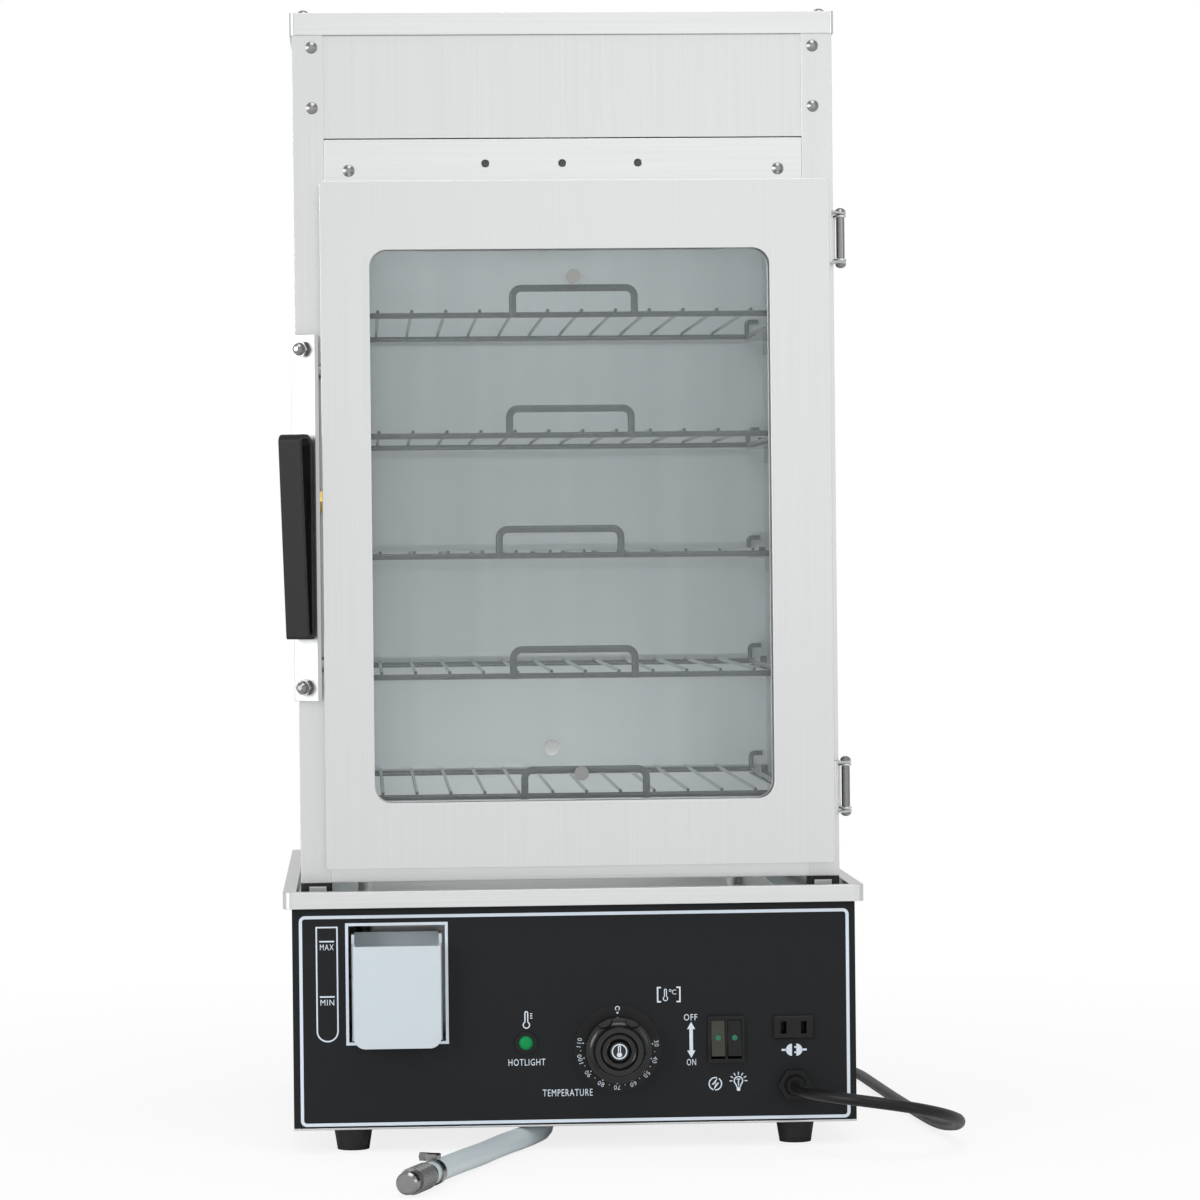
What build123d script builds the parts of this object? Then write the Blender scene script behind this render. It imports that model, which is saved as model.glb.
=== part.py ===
from build123d import *
import math
import os

os.makedirs("parts", exist_ok=True)

# Bun steamer: a tall glass-door cabinet of wire racks standing on a heated water base.
# Millimetres, +Z up, the front faces -Y, the origin is under the middle of the object.

# Driving dimensions: sheets and clearances
sheet = 1.2
post_sheet = 1.5
run_gap = 0.3
shaft_gap = 0.05
face_gap = 0.4

# Driving dimensions: base
foot_height = 16.0
foot_top_radius = 13.5
foot_bottom_radius = 11.0
foot_x = 153.5
foot_inset = 24.0
base_width = 388.0
base_height = 152.5
lip_width = 400.0
lip_depth = 440.0
lip_height = 11.3
lip_overhang = 6.0
lip_band = 8.0
lip_corner = 6.0
deck_drop = 8.8
panel_thickness = 2.0
flange_width = 10.0
well_width = 300.0
well_front = 70.0
well_rear = 402.0
well_depth = 101.0

# Driving dimensions: cabinet
pad_height = 12.0
cabinet_width = 376.0
cabinet_depth = 364.0
cabinet_setback = 46.0
cabinet_height = 602.8
post_width = 21.5
cover_height = 15.5
cover_margin = 1.5
fascia_height = 71.5
strip_height = 29.0
strip_lap = 16.0
ceiling_above_door = 21.5
liner_width = 342.0
liner_rear_gap = 8.0
sill_height = 17.0
sill_depth = 13.5

# Driving dimensions: door
door_width = 353.0
door_height = 475.0
door_lift = 10.5
door_right = 183.0
door_shell = 20.0
gasket_thickness = 1.7
window_left = 34.0
window_right = 42.0
window_bottom = 45.5
window_top = 47.5
window_corner = 12.0
glass_thickness = 4.0
glass_lap = 9.0
plug_radius = 5.0
plug_shank = 3.0
plug_x = 6.0
plug_from_edge = 19.0

# Driving dimensions: hinges
hinge_offset = 10.0
hinge_height = 36.0
hinge_low = 52.0
hinge_high = 435.0
pin_radius = 2.25
ear_radius = 4.0
ear_thickness = 1.5

# Driving dimensions: latch
plate_angle = 27.0
plate_width = 18.0
plate_height = 253.0
plate_bottom = 310.0
leaf_clear = 1.75
latch_z = 448.0
handle_up = 46.0
handle_down = 95.0
handle_top_reach = 22.0
handle_foot_reach = 13.0
handle_wall = 3.2
tongue_reach = 8.3
tongue_depth = 7.25

# Driving dimensions: racks
rack_count = 5
rack_top_z = 577.0
rack_pitch = 84.0
rack_front = 8.0
rack_rear = 346.0
rail_radius = 2.0
side_rod_radius = 1.75
rail_end = 2.5
wire_radius = 1.25
wire_count = 12
wire_pitch = 23.7
rack_half = 158.0
ledge_width = 15.5
ledge_leg = 12.0
hook_up = 12.0
hook_out = 9.0
grip_radius = 2.5
grip_width = 85.0
grip_height = 18.4
grip_corner = 6.0
grip_offsets = [6.0, 3.0, -5.0, 4.0, 11.0]

# Driving dimensions: controls, as places on the front panel
knob_x, knob_z = 29.0, 69.0
knob_radius = 22.5
knob_height = 20.0
dial_radius = 30.0
dial_thickness = 0.8
shaft_radius = 3.0
lamp_x, lamp_z = -34.2, 73.8
lamp_radius = 6.0
bezel_radius = 7.5
rocker_x, rocker_z = 104.0, 74.2
rocker_frame_w, rocker_frame_h = 25.4, 32.2
rocker_body_w, rocker_body_h = 23.0, 29.4
rocker_w, rocker_h = 9.2, 24.6
rocker_tilt = 10.0
socket_x, socket_z = 150.6, 81.7
socket_w, socket_h = 28.0, 15.8
slot_w, slot_h, slot_pitch = 4.0, 8.6, 13.9
gland_x, gland_z = 151.0, 42.2
gland_flat = 20.0
filler_x, filler_z = -122.4, 116.0
filler_open_w, filler_open_h = 66.5, 80.0
cup_width = 62.0
cup_bottom = 71.8
cup_rim = 144.0
cup_back_rim = 150.0
cup_front_depth = 16.0
cup_back_depth = 22.0
cup_wall = 2.0
cup_corner = 9.0
spout_radius = 8.0
spout_wall = 2.0

# Driving dimensions: hose, cord and plug
hose_radius = 7.5
hose_z = 7.6
elbow_x, elbow_y = -20.0, -106.0
elbow_bend = 12.0
elbow_radius = 6.0
cord_radius = 4.0
cord_z = 4.1
coil_x, coil_y = 90.0, 320.0
coil_radius = 46.0
coil_pitch = 8.6

# Heights, from the floor up
base_bottom = foot_height
shell_bottom = base_bottom + sheet
lip_bottom = base_bottom + base_height
lip_top = lip_bottom + lip_height
deck_z = lip_top - deck_drop
well_floor = deck_z - well_depth
cabinet_bottom = deck_z + pad_height
cabinet_top = cabinet_bottom + cabinet_height
cover_bottom = cabinet_top + sheet - cover_height
door_bottom = cabinet_bottom + door_lift
door_top = door_bottom + door_height
strip_bottom = door_top + post_sheet
fascia_bottom = strip_bottom + strip_height + 1.0
ceiling_z = door_top + ceiling_above_door

# Depths, from the lip back: the knob reaches furthest forward
knob_reach = dial_thickness + face_gap + knob_height - lip_overhang
lip_front = (knob_reach - lip_depth) / 2
lip_rear = lip_front + lip_depth
lip_middle = (lip_front + lip_rear) / 2
panel_y = lip_front + lip_overhang
shell_front = panel_y + panel_thickness
shell_rear = lip_rear - lip_overhang
cabinet_front = lip_front + cabinet_setback
cabinet_rear = cabinet_front + cabinet_depth
post_back = cabinet_front + post_sheet
liner_rear = cabinet_rear - liner_rear_gap
door_back = cabinet_front - gasket_thickness - run_gap
door_front = door_back - door_shell
door_left = door_right - door_width
well_y0 = lip_front + well_front
well_y1 = lip_front + well_rear

# The front panel's outer face, with local x to the right and local y up
panel_plane = Plane(origin=(0, panel_y, 0), x_dir=(1, 0, 0), z_dir=(0, -1, 0))
post_plane = Plane(origin=(0, cabinet_front, 0), x_dir=(1, 0, 0), z_dir=(0, -1, 0))
door_plane = Plane(origin=(0, door_front, 0), x_dir=(1, 0, 0), z_dir=(0, -1, 0))


def keep(builder, name):
    """Labels a finished piece and writes it under its own name."""
    builder.part.label = name
    export_step(builder.part, f"parts/{name}.step")


# Openings of the front panel, used by the printed panel and by the shell behind it
with BuildSketch() as panel_openings:
    with Locations((filler_x, filler_z)):
        Rectangle(filler_open_w, filler_open_h)
    with Locations((knob_x, knob_z)):
        Circle(shaft_radius + 2)
    with Locations((lamp_x, lamp_z)):
        Circle(lamp_radius)
    with Locations((rocker_x, rocker_z)):
        Rectangle(rocker_body_w + 2 * shaft_gap, rocker_body_h + 2 * shaft_gap)
    with Locations((socket_x, socket_z)):
        Rectangle(socket_w - 4, socket_h - 3)
    with Locations((gland_x, gland_z)):
        Circle(gland_flat / 2 - 2)

panel_centre_z = (shell_bottom + lip_bottom) / 2
panel_height = lip_bottom - shell_bottom

with BuildPart() as front_panel:
    with BuildSketch(panel_plane):
        with Locations((0, panel_centre_z)):
            Rectangle(base_width, panel_height - 0.6)
        add(panel_openings.sketch, mode=Mode.SUBTRACT)
    extrude(amount=-panel_thickness)
keep(front_panel, "front_panel")

# The shell is a folded box with flanges turned in at its top and bottom
shell_depth = shell_rear - shell_front
shell_middle = (shell_rear + shell_front) / 2
shell_top = deck_z - sheet

with BuildPart() as base_shell:
    with BuildSketch(Plane.XY.offset(shell_bottom)):
        with Locations((0, shell_middle)):
            Rectangle(base_width, shell_depth)
    extrude(amount=shell_top - shell_bottom)
    with BuildSketch(Plane.XY.offset(shell_bottom + sheet)):
        with Locations((0, shell_middle)):
            Rectangle(base_width - 2 * sheet, shell_depth - 2 * sheet)
    extrude(amount=shell_top - shell_bottom - 2 * sheet, mode=Mode.SUBTRACT)
    with BuildSketch(Plane.XY.offset(shell_bottom)):
        with Locations((0, shell_middle)):
            Rectangle(base_width - 2 * flange_width, shell_depth - 2 * flange_width)
    extrude(amount=shell_top - shell_bottom, mode=Mode.SUBTRACT)
    with BuildSketch(panel_plane.offset(-panel_thickness)):
        add(panel_openings.sketch)
    extrude(amount=-sheet, mode=Mode.SUBTRACT)
    # cooling louvres in both sides
    louvre_plane = Plane(origin=(0, shell_rear - 110, 60), x_dir=(0, 1, 0), z_dir=(1, 0, 0))
    with BuildSketch(louvre_plane):
        with GridLocations(9, 1, 8, 1):
            SlotOverall(44, 3, rotation=90)
    extrude(amount=base_width / 2, both=True, mode=Mode.SUBTRACT)
keep(base_shell, "base_shell")

feet_places = [(side * foot_x, y) for side in (-1, 1) for y in (panel_y + foot_inset, shell_rear - foot_inset)]
foot_screw_radius = 2.5
foot_recess_radius = 6.0
foot_recess_depth = 6.0

with BuildPart() as bottom_plate:
    with BuildSketch(Plane.XY.offset(base_bottom)):
        with Locations((0, (panel_y + shell_rear) / 2)):
            Rectangle(base_width, shell_rear - panel_y)
        with Locations((elbow_x, elbow_y - elbow_bend / 2)):
            Rectangle(26, 44, mode=Mode.SUBTRACT)
        with Locations(*feet_places):
            Circle(foot_screw_radius + 0.1, mode=Mode.SUBTRACT)
        with Locations((0, shell_rear - 120)):
            with GridLocations(0, 14, 1, 6):
                SlotOverall(90, 5, mode=Mode.SUBTRACT)
    extrude(amount=sheet)
keep(bottom_plate, "bottom_plate")

with BuildPart() as rubber_feet:
    for foot_place in feet_places:
        with BuildSketch(Plane.XY):
            with Locations(foot_place):
                Circle(foot_bottom_radius)
        with BuildSketch(Plane.XY.offset(foot_height)):
            with Locations(foot_place):
                Circle(foot_top_radius)
        loft()
    with BuildSketch(Plane.XY):
        with Locations(*feet_places):
            Circle(foot_recess_radius)
    extrude(amount=foot_recess_depth, mode=Mode.SUBTRACT)
    with BuildSketch(Plane.XY):
        with Locations(*feet_places):
            Circle(foot_screw_radius + 0.1)
    extrude(amount=foot_height, mode=Mode.SUBTRACT)
keep(rubber_feet, "rubber_feet")

# Water tank: a rolled lip, a lowered deck that the cabinet stands on, and the well
skirt_y = lip_middle
half_cabinet = cabinet_width / 2
pad_x = half_cabinet - post_width / 2
clip_width = 12.0
clip_height = 9.5
drop_w = lip_width - 2 * lip_band
drop_d = lip_depth - 2 * lip_band
spout_z = well_floor + spout_radius + 5
well_middle = (well_y0 + well_y1) / 2
well_length = well_y1 - well_y0
float_x, float_y = 62.0, well_y0 + 22
heater_z = well_floor + 20
heater_gap = 30.0
heater_radius = 4.0

with BuildPart() as tank_tray:
    with BuildSketch(Plane.XY.offset(lip_bottom)):
        with Locations((0, skirt_y)):
            RectangleRounded(lip_width, lip_depth, lip_corner)
    extrude(amount=lip_height)
    with BuildSketch(Plane.XY.offset(lip_bottom)):
        with Locations((0, skirt_y)):
            RectangleRounded(lip_width - 2 * sheet, lip_depth - 2 * sheet, lip_corner - sheet)
    extrude(amount=lip_height - sheet, mode=Mode.SUBTRACT)
    with BuildSketch(Plane.XY.offset(deck_z - sheet)):
        with Locations((0, skirt_y)):
            Rectangle(drop_w, drop_d)
    extrude(amount=lip_top - deck_z + sheet)
    with BuildSketch(Plane.XY.offset(deck_z)):
        with Locations((0, skirt_y)):
            Rectangle(drop_w - 2 * sheet, drop_d - 2 * sheet)
    extrude(amount=deck_drop, mode=Mode.SUBTRACT)
    with BuildSketch(Plane.XY.offset(well_floor - sheet)):
        with Locations((0, well_middle)):
            RectangleRounded(well_width, well_length, 12)
    extrude(amount=well_depth + sheet)
    with BuildSketch(Plane.XY.offset(well_floor)):
        with Locations((0, well_middle)):
            RectangleRounded(well_width - 2 * sheet, well_length - 2 * sheet, 12 - sheet)
    extrude(amount=well_depth, mode=Mode.SUBTRACT)
    with BuildSketch(Plane.XY.offset(well_floor - sheet)):
        with Locations((elbow_x, elbow_y)):
            Circle(elbow_radius - 1.5)
    extrude(amount=sheet, mode=Mode.SUBTRACT)
    with BuildSketch(Plane(origin=(0, well_y0, 0), x_dir=(1, 0, 0), z_dir=(0, -1, 0))):
        with Locations((filler_x, spout_z)):
            Circle(spout_radius - spout_wall)
        with Locations((-heater_gap / 2, heater_z), (heater_gap / 2, heater_z)):
            Circle(heater_radius + shaft_gap)
    extrude(amount=-sheet, mode=Mode.SUBTRACT)
    # locating clips turned up in front of the two front posts
    for side_x in (-1, 1):
        with BuildSketch(Plane.YZ.offset(side_x * (pad_x - 1) - clip_width / 2)):
            with BuildLine():
                Polyline(
                    (cabinet_front - 12, deck_z + sheet / 2),
                    (cabinet_front - 1.5, deck_z + sheet / 2),
                    (cabinet_front - 1.5, deck_z + clip_height),
                )
            trace(line_width=sheet)
        extrude(amount=clip_width)
keep(tank_tray, "tank_tray")

# Heating element: one bent tube whose two ends leave through a flange on the front wall
heater_half = well_width / 2 - 34
heater_front = well_y0 + 50
heater_rear = well_y1 - 40
heater_end = well_y0 - 14
flange_thickness = 3.0
with BuildPart() as heating_element:
    with BuildLine() as heater_path:
        FilletPolyline(
            (-heater_gap / 2, heater_end, heater_z),
            (-heater_gap / 2, heater_front, heater_z),
            (-heater_half, heater_front, heater_z),
            (-heater_half, heater_rear, heater_z),
            (heater_half, heater_rear, heater_z),
            (heater_half, heater_front, heater_z),
            (heater_gap / 2, heater_front, heater_z),
            (heater_gap / 2, heater_end, heater_z),
            radius=12,
        )
    with BuildSketch(Plane(origin=(-heater_gap / 2, heater_end, heater_z), z_dir=(0, 1, 0))):
        Circle(heater_radius)
    sweep()
    with BuildSketch(Plane(origin=(0, well_y0, heater_z), x_dir=(1, 0, 0), z_dir=(0, -1, 0))):
        RectangleRounded(heater_gap + 30, 24, 5)
    extrude(amount=flange_thickness)
keep(heating_element, "heating_element")

# Low-water float on its stem
stem_radius = 3.0
float_radius = 14.0
float_height = 22.0
float_low = well_floor + 32
float_travel = 25.0
stop_height = 2.0
with BuildPart() as float_stem:
    with BuildSketch(Plane.XY.offset(well_floor)):
        with Locations((float_x, float_y)):
            Circle(9)
    extrude(amount=3)
    with BuildSketch(Plane.XY.offset(well_floor)):
        with Locations((float_x, float_y)):
            Circle(stem_radius)
    extrude(amount=float_low - well_floor + float_height + float_travel + stop_height + run_gap)
    with BuildSketch(Plane.XY.offset(float_low - stop_height - run_gap)):
        with Locations((float_x, float_y)):
            Circle(stem_radius + 2.5)
    extrude(amount=stop_height)
    with BuildSketch(Plane.XY.offset(float_low + float_height + float_travel + run_gap)):
        with Locations((float_x, float_y)):
            Circle(stem_radius + 2.5)
    extrude(amount=stop_height)
keep(float_stem, "float_stem")

with BuildPart() as float_ball:
    with BuildSketch(Plane.XY.offset(float_low)):
        with Locations((float_x, float_y)):
            Circle(float_radius)
            Circle(stem_radius + run_gap, mode=Mode.SUBTRACT)
    extrude(amount=float_height)
    fillet(float_ball.edges().filter_by(GeomType.CIRCLE).sort_by(SortBy.LENGTH)[-2:], 4)
keep(float_ball, "float_ball")

# Water filler: a pocket that stands out of the panel, with a spout to the well
neck_bottom = filler_z - filler_open_h / 2 + 1
with BuildPart() as filler_cup:
    with BuildSketch(panel_plane):
        with Locations((filler_x, (cup_bottom + cup_rim) / 2)):
            RectangleRounded(cup_width, cup_rim - cup_bottom, cup_corner)
        with Locations((filler_x, cup_rim - cup_corner / 2)):
            Rectangle(cup_width, cup_corner)
    extrude(amount=cup_front_depth, taper=4)
    with BuildSketch(panel_plane):
        with Locations((filler_x, (neck_bottom + cup_back_rim) / 2)):
            Rectangle(cup_width, cup_back_rim - neck_bottom)
    extrude(amount=-cup_back_depth)
    with BuildSketch(panel_plane.offset(cup_wall)):
        with Locations((filler_x, (cup_bottom + cup_rim) / 2 + cup_wall)):
            RectangleRounded(cup_width - 2 * cup_wall, cup_rim - cup_bottom, cup_corner - cup_wall)
        with Locations((filler_x, cup_rim)):
            Rectangle(cup_width - 2 * cup_wall, cup_corner * 2)
    extrude(amount=cup_front_depth - 2 * cup_wall, taper=4, mode=Mode.SUBTRACT)
    with BuildSketch(panel_plane.offset(cup_wall)):
        with Locations((filler_x, (neck_bottom + cup_wall + cup_back_rim) / 2)):
            Rectangle(cup_width - 2 * cup_wall, cup_back_rim - neck_bottom - cup_wall)
    extrude(amount=-cup_back_depth, mode=Mode.SUBTRACT)
    with BuildSketch(panel_plane.offset(-cup_back_depth)):
        with Locations((filler_x, spout_z)):
            Circle(spout_radius)
    extrude(amount=-(well_y0 - panel_y - cup_back_depth))
    with BuildSketch(panel_plane.offset(-cup_back_depth + cup_wall)):
        with Locations((filler_x, spout_z)):
            Circle(spout_radius - spout_wall)
    extrude(amount=-(well_y0 - panel_y - cup_back_depth + cup_wall), mode=Mode.SUBTRACT)
keep(filler_cup, "filler_cup")

# Drain elbow under the well, which the hose is pushed on to
elbow_end = elbow_y - elbow_bend - 6
with BuildPart() as drain_elbow:
    with BuildSketch(Plane.XY.offset(well_floor - sheet)):
        with Locations((elbow_x, elbow_y)):
            Circle(elbow_radius + 6)
    extrude(amount=-3)
    with BuildLine() as elbow_path:
        FilletPolyline(
            (elbow_x, elbow_y, well_floor - sheet - 3),
            (elbow_x, elbow_y, hose_z),
            (elbow_x, elbow_end, hose_z),
            radius=elbow_bend,
        )
    with BuildSketch(Plane(origin=(elbow_x, elbow_y, well_floor - sheet - 3), z_dir=(0, 0, -1))):
        Circle(elbow_radius)
    sweep()
keep(drain_elbow, "drain_elbow")


def route_radii(points, share=0.45):
    """Gives each corner of a route the largest arc that its two runs allow."""
    radii = []
    for before, corner, after in zip(points, points[1:], points[2:]):
        first = Vector(*corner) - Vector(*before)
        second = Vector(*after) - Vector(*corner)
        half_turn = math.radians(first.get_angle(second) / 2)
        radii.append(share * min(first.length, second.length) / math.tan(half_turn))
    return radii


def report_tube(name, builder, path, radii, radius):
    """Prints a tube's bends and compares its volume with its section times its length."""
    length = sum(edge.length for edge in path.edges())
    section = math.pi * radius**2
    print(name, "length", round(length, 1), "radii", [round(r) for r in radii])
    print(name, "volume / (section x length)", round(builder.part.volume / (section * length), 5))


# Drain hose: it lies on the floor, from the elbow forward and to the left
hose_rise = 8.9
hose_points = [
    (elbow_x, elbow_end, hose_z),
    (-20, -152, hose_z),
    (-32, -189, hose_z),
    (-52, -233, hose_z),
    (-68, -279, hose_z),
    (-85, -326, hose_rise),
    (-105, -380, hose_rise),
]
hose_radii = route_radii(hose_points)
with BuildPart() as drain_hose:
    with BuildLine() as hose_path:
        FilletPolyline(*hose_points, radius=hose_radii)
    with BuildSketch(Plane(origin=hose_points[0], z_dir=(0, -1, 0))):
        Circle(hose_radius)
    sweep()
keep(drain_hose, "drain_hose")
report_tube("drain_hose", drain_hose, hose_path, hose_radii, hose_radius)

# Hose end: a threaded plug pushed into the hose, and the worm clamp round the hose
hose_tail = Vector(*hose_points[-1])
hose_way = (hose_tail - Vector(*hose_points[-2])).normalized()
plug_plane = Plane(origin=hose_tail, x_dir=(0, 0, 1), z_dir=hose_way)
plug_thread_radius = 8.5
plug_cap_radius = 7.4
plug_ring = 4.0
plug_thread = 28.0
plug_nose = 10.0
with BuildPart() as hose_plug:
    with BuildSketch(plug_plane):
        Circle(hose_radius)
    extrude(amount=plug_ring)
    with BuildSketch(plug_plane.offset(plug_ring)):
        Circle(plug_thread_radius)
    extrude(amount=plug_thread)
    with BuildSketch(plug_plane.offset(plug_ring + plug_thread)):
        Circle(plug_cap_radius)
    extrude(amount=plug_nose)
    chamfer(hose_plug.edges().filter_by(GeomType.CIRCLE).sort_by(Axis(hose_tail, hose_way))[-1], 1.5)
keep(hose_plug, "hose_plug")

clamp_back = 14.0
clamp_width = 7.0
clamp_wall = 0.9
clamp_plane = plug_plane.offset(-clamp_back)
with BuildPart() as hose_clamp:
    with BuildSketch(clamp_plane):
        Circle(hose_radius + clamp_wall)
        Circle(hose_radius, mode=Mode.SUBTRACT)
    extrude(amount=clamp_width)
    with BuildSketch(clamp_plane.offset(-0.5)):
        with Locations((hose_radius + clamp_wall + 1.8, 0)):
            RectangleRounded(4.2, 8, 1)
    extrude(amount=clamp_width + 1)
    worm_plane = Plane(
        origin=clamp_plane.from_local_coords((hose_radius + clamp_wall + 1.8, 0, clamp_width / 2)),
        z_dir=clamp_plane.y_dir,
    )
    with BuildSketch(worm_plane.offset(3)):
        RegularPolygon(3, 6)
    extrude(amount=6)
keep(hose_clamp, "hose_clamp")

# Thermostat: body behind the panel, dial plate, and the knob with its turning shaft
thermostat_w, thermostat_h, thermostat_d = 44.0, 34.0, 22.0
bush_depth = 12.0
shell_back_y = shell_front + sheet
with BuildPart() as thermostat_body:
    with BuildSketch(panel_plane.offset(-(shell_back_y - panel_y))):
        with Locations((knob_x, knob_z)):
            Rectangle(thermostat_w, thermostat_h)
    extrude(amount=-thermostat_d)
    with BuildSketch(panel_plane.offset(-(shell_back_y - panel_y))):
        with Locations((knob_x, knob_z)):
            Circle(shaft_radius + shaft_gap)
    extrude(amount=-bush_depth, mode=Mode.SUBTRACT)
    fillet(thermostat_body.edges().filter_by(Axis.Y).filter_by(GeomType.LINE), 3)
keep(thermostat_body, "thermostat_body")

with BuildPart() as dial_plate:
    with BuildSketch(panel_plane):
        with Locations((knob_x, knob_z)):
            Circle(dial_radius)
            Circle(shaft_radius + 2, mode=Mode.SUBTRACT)
    extrude(amount=dial_thickness)
keep(dial_plate, "dial_plate")

# The knob is a shallow drum with a dished face round a raised centre and two finger hollows
knob_back = dial_thickness + face_gap
knob_edge = 3.0
dish_radius = 11.5
boss_radius = 6.5
knob_axis = Plane(
    origin=panel_plane.from_local_coords((knob_x, knob_z, 0)), x_dir=(1, 0, 0), z_dir=(0, 0, 1)
)
with BuildPart() as thermostat_knob:
    with BuildSketch(knob_axis):
        with BuildLine():
            Polyline(
                (0, -knob_back),
                (knob_radius, -knob_back),
                (knob_radius, -knob_back - knob_height + knob_edge * 2),
            )
            RadiusArc(
                (knob_radius, -knob_back - knob_height + knob_edge * 2),
                (knob_radius - knob_edge * 2, -knob_back - knob_height),
                -knob_edge * 2,
            )
            Line(
                (knob_radius - knob_edge * 2, -knob_back - knob_height),
                (dish_radius + 1.5, -knob_back - knob_height),
            )
            ThreePointArc(
                (dish_radius + 1.5, -knob_back - knob_height),
                ((dish_radius + boss_radius) / 2 + 0.6, -knob_back - knob_height + 4.5),
                (boss_radius, -knob_back - knob_height + 1.0),
            )
            Polyline(
                (boss_radius, -knob_back - knob_height + 1.0),
                (0, -knob_back - knob_height + 1.0),
                (0, -knob_back),
            )
        make_face()
    revolve(axis=Axis(knob_axis.origin, (0, 1, 0)))
    with BuildSketch(panel_plane.offset(knob_back + knob_height)):
        with Locations((knob_x - 10.5, knob_z + 21.5), (knob_x + 10.5, knob_z + 21.5)):
            Circle(7.5)
    extrude(amount=-9, taper=12, mode=Mode.SUBTRACT)
    with BuildSketch(panel_plane.offset(knob_back)):
        with Locations((knob_x, knob_z)):
            Circle(shaft_radius)
    extrude(amount=-(knob_back + shell_back_y - panel_y + bush_depth - 0.5))
keep(thermostat_knob, "thermostat_knob")

# Indicator lamp
with BuildPart() as indicator_bezel:
    with BuildSketch(panel_plane):
        with Locations((lamp_x, lamp_z)):
            Circle(bezel_radius)
            Circle(lamp_radius - 1.2, mode=Mode.SUBTRACT)
    extrude(amount=1.6)
    with BuildSketch(panel_plane):
        with Locations((lamp_x, lamp_z)):
            Circle(lamp_radius - shaft_gap)
            Circle(lamp_radius - 1.2, mode=Mode.SUBTRACT)
    extrude(amount=-16)
keep(indicator_bezel, "indicator_bezel")

lens_radius = lamp_radius - 1.2
lens_rise = 4.4
with BuildPart() as indicator_lens:
    with BuildSketch(panel_plane.offset(-14)):
        with Locations((lamp_x, lamp_z)):
            Circle(lens_radius)
    extrude(amount=14 + lens_rise)
    fillet(indicator_lens.edges().filter_by(GeomType.CIRCLE).sort_by(Axis.Y)[0], 3.0)
keep(indicator_lens, "indicator_lens")

# Twin rocker switch
rocker_flange = 2.0
rocker_depth = 22.0
rocker_wall = 1.2
rocker_pivot_in = 1.5
well_w = rocker_w + 2 * run_gap
well_pitch = well_w + 1.6
rocker_xs = [rocker_x - well_pitch / 2, rocker_x + well_pitch / 2]
rocker_pin_radius = 1.2
with BuildPart() as rocker_housing:
    with BuildSketch(panel_plane):
        with Locations((rocker_x, rocker_z)):
            RectangleRounded(rocker_frame_w, rocker_frame_h, 1.2)
    extrude(amount=rocker_flange)
    with BuildSketch(panel_plane):
        with Locations((rocker_x, rocker_z)):
            Rectangle(rocker_body_w, rocker_body_h)
    extrude(amount=-rocker_depth)
    with BuildSketch(panel_plane.offset(rocker_flange)):
        with Locations(*[(x, rocker_z) for x in rocker_xs]):
            Rectangle(well_w, rocker_body_h - 2 * rocker_wall)
    extrude(amount=-14, mode=Mode.SUBTRACT)
    with BuildSketch(
        Plane(origin=(rocker_x, panel_y + rocker_pivot_in, rocker_z), x_dir=(0, 1, 0), z_dir=(1, 0, 0))
    ):
        Circle(rocker_pin_radius + shaft_gap)
    extrude(amount=(well_pitch + well_w) / 2 + 0.6, both=True, mode=Mode.SUBTRACT)
keep(rocker_housing, "rocker_housing")

# Each rocker is a shallow V seen from the side, tipped about its pin
for rocker_name, centre_x in zip(("rocker_power", "rocker_light"), rocker_xs):
    tip = math.radians(rocker_tilt)
    rocker_plane = Plane(
        origin=(centre_x, panel_y + rocker_pivot_in, rocker_z),
        x_dir=(0, -math.cos(tip), math.sin(tip)),
        z_dir=(1, 0, 0),
    )
    half = rocker_h / 2
    with BuildPart() as rocker:
        with BuildSketch(rocker_plane):
            with BuildLine():
                Polyline((-4.2, -5), (0.6, -half), (4.6, -half), (3.3, 0), (4.6, half), (0.6, half), (-4.2, 5))
                ThreePointArc((-4.2, 5), (-5.2, 0), (-4.2, -5))
            make_face()
        extrude(amount=rocker_w / 2, both=True)
        with BuildSketch(rocker_plane):
            Circle(rocker_pin_radius)
        extrude(amount=rocker_w / 2 + run_gap + 0.5, both=True)
    keep(rocker, rocker_name)

# Two-slot outlet
socket_flange = 2.4
socket_depth = 18.0
with BuildPart() as outlet_socket:
    with BuildSketch(panel_plane):
        with Locations((socket_x, socket_z)):
            RectangleRounded(socket_w, socket_h, 1.2)
    extrude(amount=socket_flange)
    chamfer(outlet_socket.faces().sort_by(Axis.Y)[0].edges(), 0.8)
    with BuildSketch(panel_plane):
        with Locations((socket_x, socket_z)):
            Rectangle(socket_w - 4 - 2 * shaft_gap, socket_h - 3 - 2 * shaft_gap)
    extrude(amount=-socket_depth)
    with BuildSketch(panel_plane.offset(socket_flange)):
        with Locations((socket_x, socket_z)):
            with GridLocations(slot_pitch, 0, 2, 1):
                Rectangle(slot_w, slot_h)
    extrude(amount=-14, mode=Mode.SUBTRACT)
keep(outlet_socket, "outlet_socket")

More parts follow.
